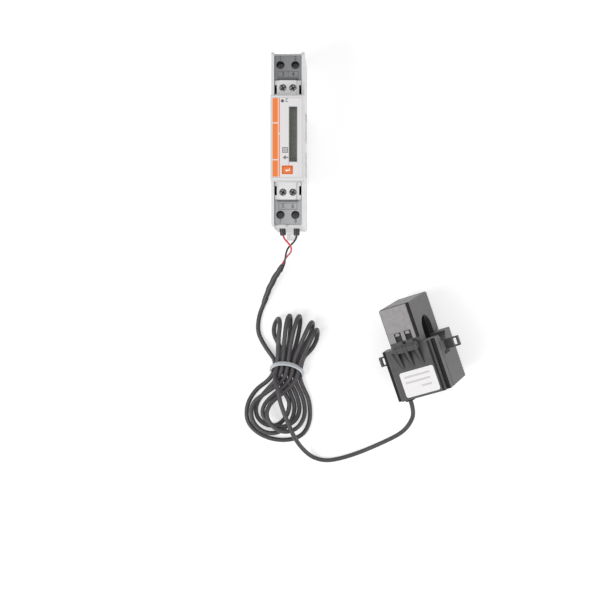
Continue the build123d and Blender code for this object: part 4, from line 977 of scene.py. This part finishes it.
class METER_OT_terminals(MeterPiece, bpy.types.Operator):
    """Figures, boxes and shaded slits on the terminal blocks"""
    bl_idname = "meter.terminals"
    bl_label = "Terminal marks"

    def build(self, scene):
        top = BLOCK_TOP
        height = scene.meter_sizes.print_height
        marks = [figure(text, x, y, top, height * share) for text, x, y, share in UPPER_FIGURES]
        marks += frame_lines(-0.0054, 0.0056, 0.0334, 0.0368, top, 0.00024)
        marks.append(bar(0.00005, 0.00029, 0.0336, 0.0366, top))
        piece("upper_block_marks", join(marks), "mark_upper")
        marks = [figure(text, x, y, top, height * share) for text, x, y, share in LOWER_FIGURES]
        marks += frame_lines(-0.0050, 0.0050, -0.0372, -0.0336, top, 0.0003)
        marks += [bar(x - 0.0001, x + 0.0001, -0.0447, -0.0442, top) for x in (-0.0041, 0.0041)]
        piece("lower_block_marks", join(marks), "mark_lower")
        for end, sign in (("upper", 1), ("lower", -1)):
            self.slit_and_lip(end, sign)

    def slit_and_lip(self, end, sign):
        """The shaded floor of a block's slit, and the raised lip round the block's other three sides."""
        slit_y, half_slit = 0.0327 * sign, 0.00047
        floor = tile(-0.00566, 0.00566, slit_y - half_slit, slit_y + half_slit, 0.0430, 0.0464)
        piece(f"{end}_block_slit_floor", floor, f"{end}_slit")
        outer, inner, low, high = 0.00726, 0.0069, 0.0455, 0.0462
        near, far = sorted((0.0325 * sign, 0.0447 * sign))
        lip = [tile(x0, x1, near, far, low, high) for x0, x1 in ((-outer, -inner), (inner, outer))]
        near, far = sorted((slit_y + 0.01195 * sign, slit_y + 0.01236 * sign))
        lip.append(tile(-outer, outer, near, far, low, high))
        piece(f"{end}_block_lip", join(lip), f"{end}_block")


def crowned_head(tree, given):
    """A screw's head just below the origin, its upper rim drawn in."""
    crown, drawn_in = 0.0003, 0.86
    head = add(tree, "GeometryNodeMeshCylinder", {
        "Vertices": 40, "Fill Segments": 4, "Side Segments": 3, "Radius": given["Head radius"],
        "Depth": given["Head height"]}, fill_type="NGON")
    half = add(tree, "ShaderNodeMath", {0: given["Head height"], 1: -0.5}, operation="MULTIPLY")
    drop = add(tree, "ShaderNodeCombineXYZ", {"Z": half})
    placed = add(tree, "GeometryNodeSetPosition", {"Geometry": head, "Offset": drop})
    where = add(tree, "GeometryNodeInputPosition")
    axes = add(tree, "ShaderNodeSeparateXYZ", {"Vector": where})
    squeeze = ranged(tree, axes.outputs["Z"], -crown, 0.0, 1.0, drawn_in)
    scaled = add(tree, "ShaderNodeVectorMath", {0: where, 3: squeeze}, operation="SCALE")
    back = add(tree, "ShaderNodeSeparateXYZ", {"Vector": scaled})
    eased = add(tree, "ShaderNodeCombineXYZ", {
        "X": back.outputs["X"], "Y": back.outputs["Y"], "Z": axes.outputs["Z"]})
    return add(tree, "GeometryNodeSetPosition", {"Geometry": placed, "Position": eased})


def cross_cut(tree, given, head):
    """The head with two crossing slots cut into its top."""
    cut = add(tree, "GeometryNodeMeshBoolean", {"Mesh 1": head}, operation="DIFFERENCE", solver="EXACT")
    for one, other in (("Slot length", "Slot width"), ("Slot width", "Slot length")):
        deep = add(tree, "ShaderNodeMath", {0: given["Slot depth"], 1: 2.0}, operation="MULTIPLY")
        size = add(tree, "ShaderNodeCombineXYZ", {"X": given[one], "Y": given[other], "Z": deep})
        slot = add(tree, "GeometryNodeMeshCube", {"Size": size})
        tree.links.new(slot.outputs["Mesh"], cut.inputs["Mesh 2"])
    return cut


def hung_shank(tree, given):
    """A plain shank under the head."""
    shank = add(tree, "GeometryNodeMeshCylinder", {
        "Vertices": 24, "Radius": given["Shank radius"], "Depth": given["Shank length"]})
    reach = add(tree, "ShaderNodeMath", {0: given["Shank length"], 1: -0.5}, operation="MULTIPLY")
    down = add(tree, "ShaderNodeMath", {0: reach, 1: given["Head height"]}, operation="SUBTRACT")
    low = add(tree, "ShaderNodeCombineXYZ", {"Z": down})
    return add(tree, "GeometryNodeTransform", {"Geometry": shank, "Translation": low})


def cross_head_tree():
    """A row of screws with a crowned, cross-recessed head on a plain shank."""
    tree, given, ids = geometry_tree("Cross-head screws", (
        ("Head radius", "Float", 0.0017), ("Head height", "Float", 0.0015), ("Shank radius", "Float", 0.001),
        ("Shank length", "Float", 0.004), ("Slot width", "Float", 0.0004), ("Slot length", "Float", 0.0024),
        ("Slot depth", "Float", 0.0006), ("Turn", "Float", 0.4), ("First place", "Vector", (0, 0, 0)),
        ("Step", "Vector", (0, 0, 0)), ("Count", "Int", 1)))
    head = cross_cut(tree, given, crowned_head(tree, given))
    both = add(tree, "GeometryNodeJoinGeometry", {"Geometry": head})
    tree.links.new(hung_shank(tree, given).outputs[0], both.inputs["Geometry"])
    turn = add(tree, "ShaderNodeCombineXYZ", {"Z": given["Turn"]})
    row = add(tree, "GeometryNodeMeshLine", {
        "Count": given["Count"], "Start Location": given["First place"], "Offset": given["Step"]},
        mode="OFFSET")
    spread = add(tree, "GeometryNodeInstanceOnPoints", {"Points": row, "Instance": both, "Rotation": turn})
    finish_tree(tree, spread, "zinc")
    return tree, ids


class METER_OT_screws(MeterPiece, bpy.types.Operator):
    """Signal screws beside the nose and main terminal screws deep in their holes"""
    bl_idname = "meter.screws"
    bl_label = "Screws"

    def build(self, scene):
        tree, ids = cross_head_tree()
        self.signal_screws(tree, ids)
        half_pitch, out = 0.004, 0.040
        for end, y in (("upper", out), ("lower", -out)):
            for side, x in (("left", -half_pitch), ("right", half_pitch)):
                self.main_screw(tree, ids, f"{end}_{side}", x, y)

    def signal_screws(self, tree, ids):
        """Two pairs of screws, with a dark cross of painted shade in the slots of each."""
        half_pitch, out, top = 0.00265, 0.0279, 0.0446
        half_long, half_wide, cross_low, cross_high = 0.00135, 0.0003, 0.0444, 0.0452
        heads, slot_shades = [], []
        for y, turn in ((out, 0.5), (-out, 1.1)):
            heads.append(grown(tree, ids, {
                "First place": (-half_pitch, y, top), "Step": (2 * half_pitch, 0, 0), "Count": 2,
                "Turn": turn, "Head radius": 0.00185, "Head height": 0.0015, "Shank radius": 0.001,
                "Shank length": 0.004, "Slot width": 0.0007, "Slot length": 0.0028, "Slot depth": 0.0009}))
            # Painted shade: a dark cross plate in the slots of each head
            for x in (-half_pitch, half_pitch):
                for angle in (turn, turn + math.pi / 2):
                    c, s = math.cos(angle), math.sin(angle)
                    outline = [(x + a * c - b * s, y + a * s + b * c)
                               for a, b in box_outline(-half_long, half_long, -half_wide, half_wide)]
                    slot_shades.append(plate(outline, cross_low, cross_high))
        piece("signal_screw_slot_shade", join(slot_shades), "recess")
        screws = piece("signal_screw_heads", join(heads), "zinc", smooth=30)
        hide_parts("signal_screws")

    def main_screw(self, tree, ids, corner, x, y):
        """A terminal screw as long as its node. Left and right ones are turned differently."""
        node, head_height = f"{corner}_terminal_screw", 0.0022
        low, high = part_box(node)
        mesh = grown(tree, ids, {
            "First place": (x, y, high.z), "Count": 1, "Turn": 0.3 if x < 0 else 0.9, "Head radius": 0.00212,
            "Head height": head_height, "Shank radius": 0.0015, "Shank length": high.z - low.z - head_height,
            "Slot width": 0.0006, "Slot length": 0.0028, "Slot depth": 0.0009})
        screw = piece(f"{corner}_screw_head", mesh, "zinc_dim", f"{corner}_screw", smooth=30)
        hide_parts(node)


def label_tree():
    """A row of upright bars of chance lengths, on the side wall."""
    tree, given, ids = geometry_tree("Label bars", (
        ("Columns", "Int", 9), ("Pitch", "Float", 0.002), ("Bar", "Float", 0.0004),
        ("Longest", "Float", 0.02), ("Start", "Vector", (0, 0, 0)), ("Seed", "Int", 4)))
    step = add(tree, "ShaderNodeCombineXYZ", {"Y": given["Pitch"]})
    row = add(tree, "GeometryNodeMeshLine", {
        "Count": given["Columns"], "Start Location": given["Start"], "Offset": step}, mode="OFFSET")
    size = add(tree, "ShaderNodeCombineXYZ", {"X": 0.00006, "Y": given["Bar"], "Z": given["Longest"]})
    block = add(tree, "GeometryNodeMeshCube", {"Size": size})
    share = add(tree, "FunctionNodeRandomValue", {2: 0.45, 3: 1.0, "Seed": given["Seed"]},
                data_type="FLOAT")
    scale = add(tree, "ShaderNodeCombineXYZ", {"X": 1.0, "Y": 1.0, "Z": share.outputs[1]})
    bars = add(tree, "GeometryNodeInstanceOnPoints", {"Points": row, "Instance": block, "Scale": scale})
    finish_tree(tree, bars, "ink_dark")
    return tree, ids


class METER_OT_side_label(MeterPiece, bpy.types.Operator):
    """Rows of plain bars on the side label"""
    bl_idname = "meter.side_label"
    bl_label = "Side label"

    def build(self, scene):
        tree, ids = label_tree()
        groups = [grown(tree, ids, {"Start": (0.00906, y, 0.0225), "Columns": count, "Seed": seed,
                                    "Longest": 0.0205, "Bar": 0.0011, "Pitch": 0.0016})
                  for y, count, seed in ((0.0020, 10, 4), (-0.0175, 9, 7))]
        piece("side_label_bars", join(groups), "ink_dark")


# The transformer's own frame: x across its front, y up its front from the parting line, z out of its front
CT_PLACE = (Matrix.Translation((0.0642, -0.1107, 0.0313)) @ Matrix.Rotation(math.radians(17.25), 4, "Z")
            @ Matrix.Rotation(math.radians(-22.4), 4, "Y") @ Matrix.Rotation(math.radians(4.3), 4, "X"))
WINDOW_Y, WINDOW_Z = 0.0043, -0.0165
RIBS = (-0.006, 0.0, 0.006)
POCKETS = (-0.003, 0.003)


def ct_piece(name, meshes, material, body="meter", smooth=None):
    """A piece drawn in the transformer's own frame."""
    mesh = join(meshes)
    mesh.transform(CT_PLACE)
    return piece(name, mesh, material, body, smooth)


def arch(half, radius, thick, foot, steps=28):
    """A thin half-round sheet of painted shade along the conductor window, with straight legs down to its
    foot.
    """
    shape = bmesh.new()
    profile = []
    for k in range(steps + 1):
        a = math.radians(180 * k / steps - 90)
        profile.append((WINDOW_Y + radius * math.sin(a), WINDOW_Z + radius * math.cos(a)))
    profile = [(foot, profile[0][1])] + profile + [(foot, profile[-1][1])]
    rings = []
    for inset in (0.0, thick):
        for x in (-half, half):
            ring = []
            for y, z in profile:
                away = Vector((max(0.0, y - WINDOW_Y), z - WINDOW_Z))
                shift = away.normalized() * inset
                ring.append(shape.verts.new((x, y - shift.x, z - shift.y)))
            rings.append(ring)
    outer0, outer1, inner0, inner1 = rings
    for a, b in ((outer0, outer1), (outer1, inner1), (inner1, inner0), (inner0, outer0)):
        for i in range(len(a) - 1):
            shape.faces.new((a[i], a[i + 1], b[i + 1], b[i]))
    for i in (0, -1):
        shape.faces.new((outer0[i], outer1[i], inner1[i], inner0[i]))
    bmesh.ops.recalc_face_normals(shape, faces=shape.faces)
    return mesh_of(shape, "arch")


def rib_flanks(x):
    """Painted shade on both sides of a hinge rib."""
    outline = [(-0.0022, 0.0002), (-0.0022, 0.0037), (-0.0113, 0.0003), (-0.0113, 0.0001)]
    # Turns a plate's x, y and z to y, z and x
    upright = Matrix(((0, 0, 1, 0), (1, 0, 0, 0), (0, 1, 0, 0), (0, 0, 0, 1)))
    flanks = []
    for side in (-1, 1):
        flank = plate(outline, *sorted((x + side * 0.00079, x + side * 0.00086)))
        flank.transform(upright)
        flanks.append(flank)
    return flanks


class METER_OT_transformer(MeterPiece, bpy.types.Operator):
    """Textured front plates with painted sheen, painted shade on edge strips, pocket floors, rib flanks, lugs
    and inside the window, and label bars of the transformer
    """
    bl_idname = "meter.transformer"
    bl_label = "Transformer"

    def build(self, scene):
        self.dress_cap()
        self.dress_ribs()
        self.dress_base()
        self.line_window()
        self.bar_label()

    def dress_cap(self):
        left, right, foot, shelf, low, high = -0.0087, 0.0069, 0.0034, 0.0085, -0.0001, 0.00012
        # Painted sheen: the front plates and the latch tabs take the light grey copy of the housing
        front = [tile(left, right, shelf, 0.0226, low, high, 0.0001)]
        front += [tile(x0, x1, foot, shelf, low, high)
                  for x0, x1 in ((left, -0.0050), (-0.0010, 0.0010), (0.0050, right))]
        # Painted shade: near-black floors in the two pockets
        floors = [tile(x - 0.0019, x + 0.0019, 0.0035, 0.0079, -0.00102, -0.0009) for x in POCKETS]
        tabs = [plate([(x - 0.0013, 0.0066), (x + 0.0013, 0.0066), (x + 0.0010, 0.0082),
                       (x - 0.0010, 0.0082)], -0.0009, 0.0006, 0.0002) for x in POCKETS]
        # Painted shade: a dark strip along the bevel at the front plate's right edge
        strip = tile(0.0072, 0.0090, 0.0032, 0.0228, -0.0001, 0.0001, 0.0001)
        ct_piece("cap_front_sheen_plate", front, "housing_sheen", "transformer_cap")
        ct_piece("cap_edge_shade_strip", [strip], "housing_edge_shade", "transformer_cap")
        ct_piece("cap_pocket_shade", floors, "recess", "transformer_cap")
        ct_piece("cap_latch_tabs", tabs, "housing_sheen", "transformer_cap", smooth=40)

    def dress_ribs(self):
        hollows, flanks, leaves = [], [], []
        for x in RIBS:
            # Painted shade: a dark wedge beside each rib, and dark sheets on its flanks
            hollow = [(x - 0.0042, -0.0020), (x - 0.0004, -0.0014), (x + 0.0001, -0.0108),
                      (x - 0.0006, -0.0121)]
            hollows.append(plate(hollow, -0.00002, 0.00006))
            flanks += rib_flanks(x)
            leaf = [(x - 0.0002, -0.0015), (x + 0.0014, -0.0020), (x + 0.0017, -0.0048),
                    (x + 0.0008, -0.0098), (x + 0.0002, -0.0112), (x - 0.0001, -0.0090)]
            leaves.append(plate(leaf, -0.00002, 0.0005, 0.00025))
        ct_piece("rib_hollow_shade", hollows + flanks, "recess")
        ct_piece("rib_leaves", leaves, "housing", smooth=40)

    def dress_base(self):
        foot, top, inner, outer = -0.0289, -0.0001, 0.01345, 0.01575
        # Painted shade: dark strips on the steps at both sides of the base, and a dark line on its front face
        # near the right
        steps = [tile(x0, x1, foot, top, -0.00242, -0.0023, 0.00005)
                 for x0, x1 in ((inner, outer), (-outer, -inner))]
        steps.append(tile(0.0116, 0.0129, foot, top, -0.0001, 0.00006))
        ct_piece("base_step_shade_strips", steps, "housing_edge_shade")
        # Painted shade: dark patches on both side faces, on either side of each lug
        marks = [tile(*sorted((side * 0.01572, side * 0.01584)), low, high, -0.0205, -0.0110)
                 for side in (-1, 1) for low, high in ((-0.0040, -0.0021), (-0.0117, -0.0096))]
        ct_piece("lug_shade", marks, "recess")

    def line_window(self):
        # Painted shade: a dark sheet inside the conductor window
        liner = arch(half=0.00895, radius=0.00799, thick=0.00012, foot=0.0003)
        ct_piece("cap_window_shade", [liner], "recess", "transformer_cap", smooth=40)

    def bar_label(self):
        """Plain bars where the transformer's label has its text."""
        half, low, high = 0.00055, 0.00011, 0.00014
        bars = [tile(x0, x1, y - half, y + half, low, high) for y, x0, x1 in (
            (-0.0165, -0.0072, 0.0078), (-0.0196, -0.0075, 0.0072), (-0.0230, 0.0010, 0.0070))]
        ct_piece("label_bars", bars, "ink_pale")


class METER_PT_panel(bpy.types.Panel):
    """Lists the meter's pieces"""
    bl_label = "Current transformer meter"
    bl_idname = "METER_PT_panel"
    bl_space_type = "VIEW_3D"
    bl_region_type = "UI"
    bl_category = "Meter"

    def draw(self, context):
        for group in (context.scene.meter_sizes, context.scene.meter_colours):
            column = self.layout.column()
            for name in group.__annotations__:
                column.prop(group, name)
        for operator in OPERATORS:
            self.layout.operator(operator.bl_idname)


OPERATORS = (METER_OT_stage, METER_OT_wires, METER_OT_sleeve, METER_OT_tie, METER_OT_cable, METER_OT_ferrules,
             METER_OT_front_print, METER_OT_button, METER_OT_lamp, METER_OT_terminals, METER_OT_screws,
             METER_OT_side_label, METER_OT_transformer)
CLASSES = (MeterColours, MeterSizes, *OPERATORS, METER_PT_panel)


def register():
    for item in CLASSES:
        bpy.utils.register_class(item)
    bpy.types.Scene.meter_colours = bpy.props.PointerProperty(type=MeterColours)
    bpy.types.Scene.meter_sizes = bpy.props.PointerProperty(type=MeterSizes)


def unregister():
    del bpy.types.Scene.meter_sizes, bpy.types.Scene.meter_colours
    for item in reversed(CLASSES):
        bpy.utils.unregister_class(item)


def main():
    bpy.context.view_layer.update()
    register()
    make_materials(bpy.context.scene.meter_colours)
    for material, nodes in NODE_FINISHES.items():
        for name in nodes:
            finish_node(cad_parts[name], MATERIALS[material])
    for operator in OPERATORS:
        group, name = operator.bl_idname.split(".")
        getattr(getattr(bpy.ops, group), name)()


if __name__ == "__main__":
    main()
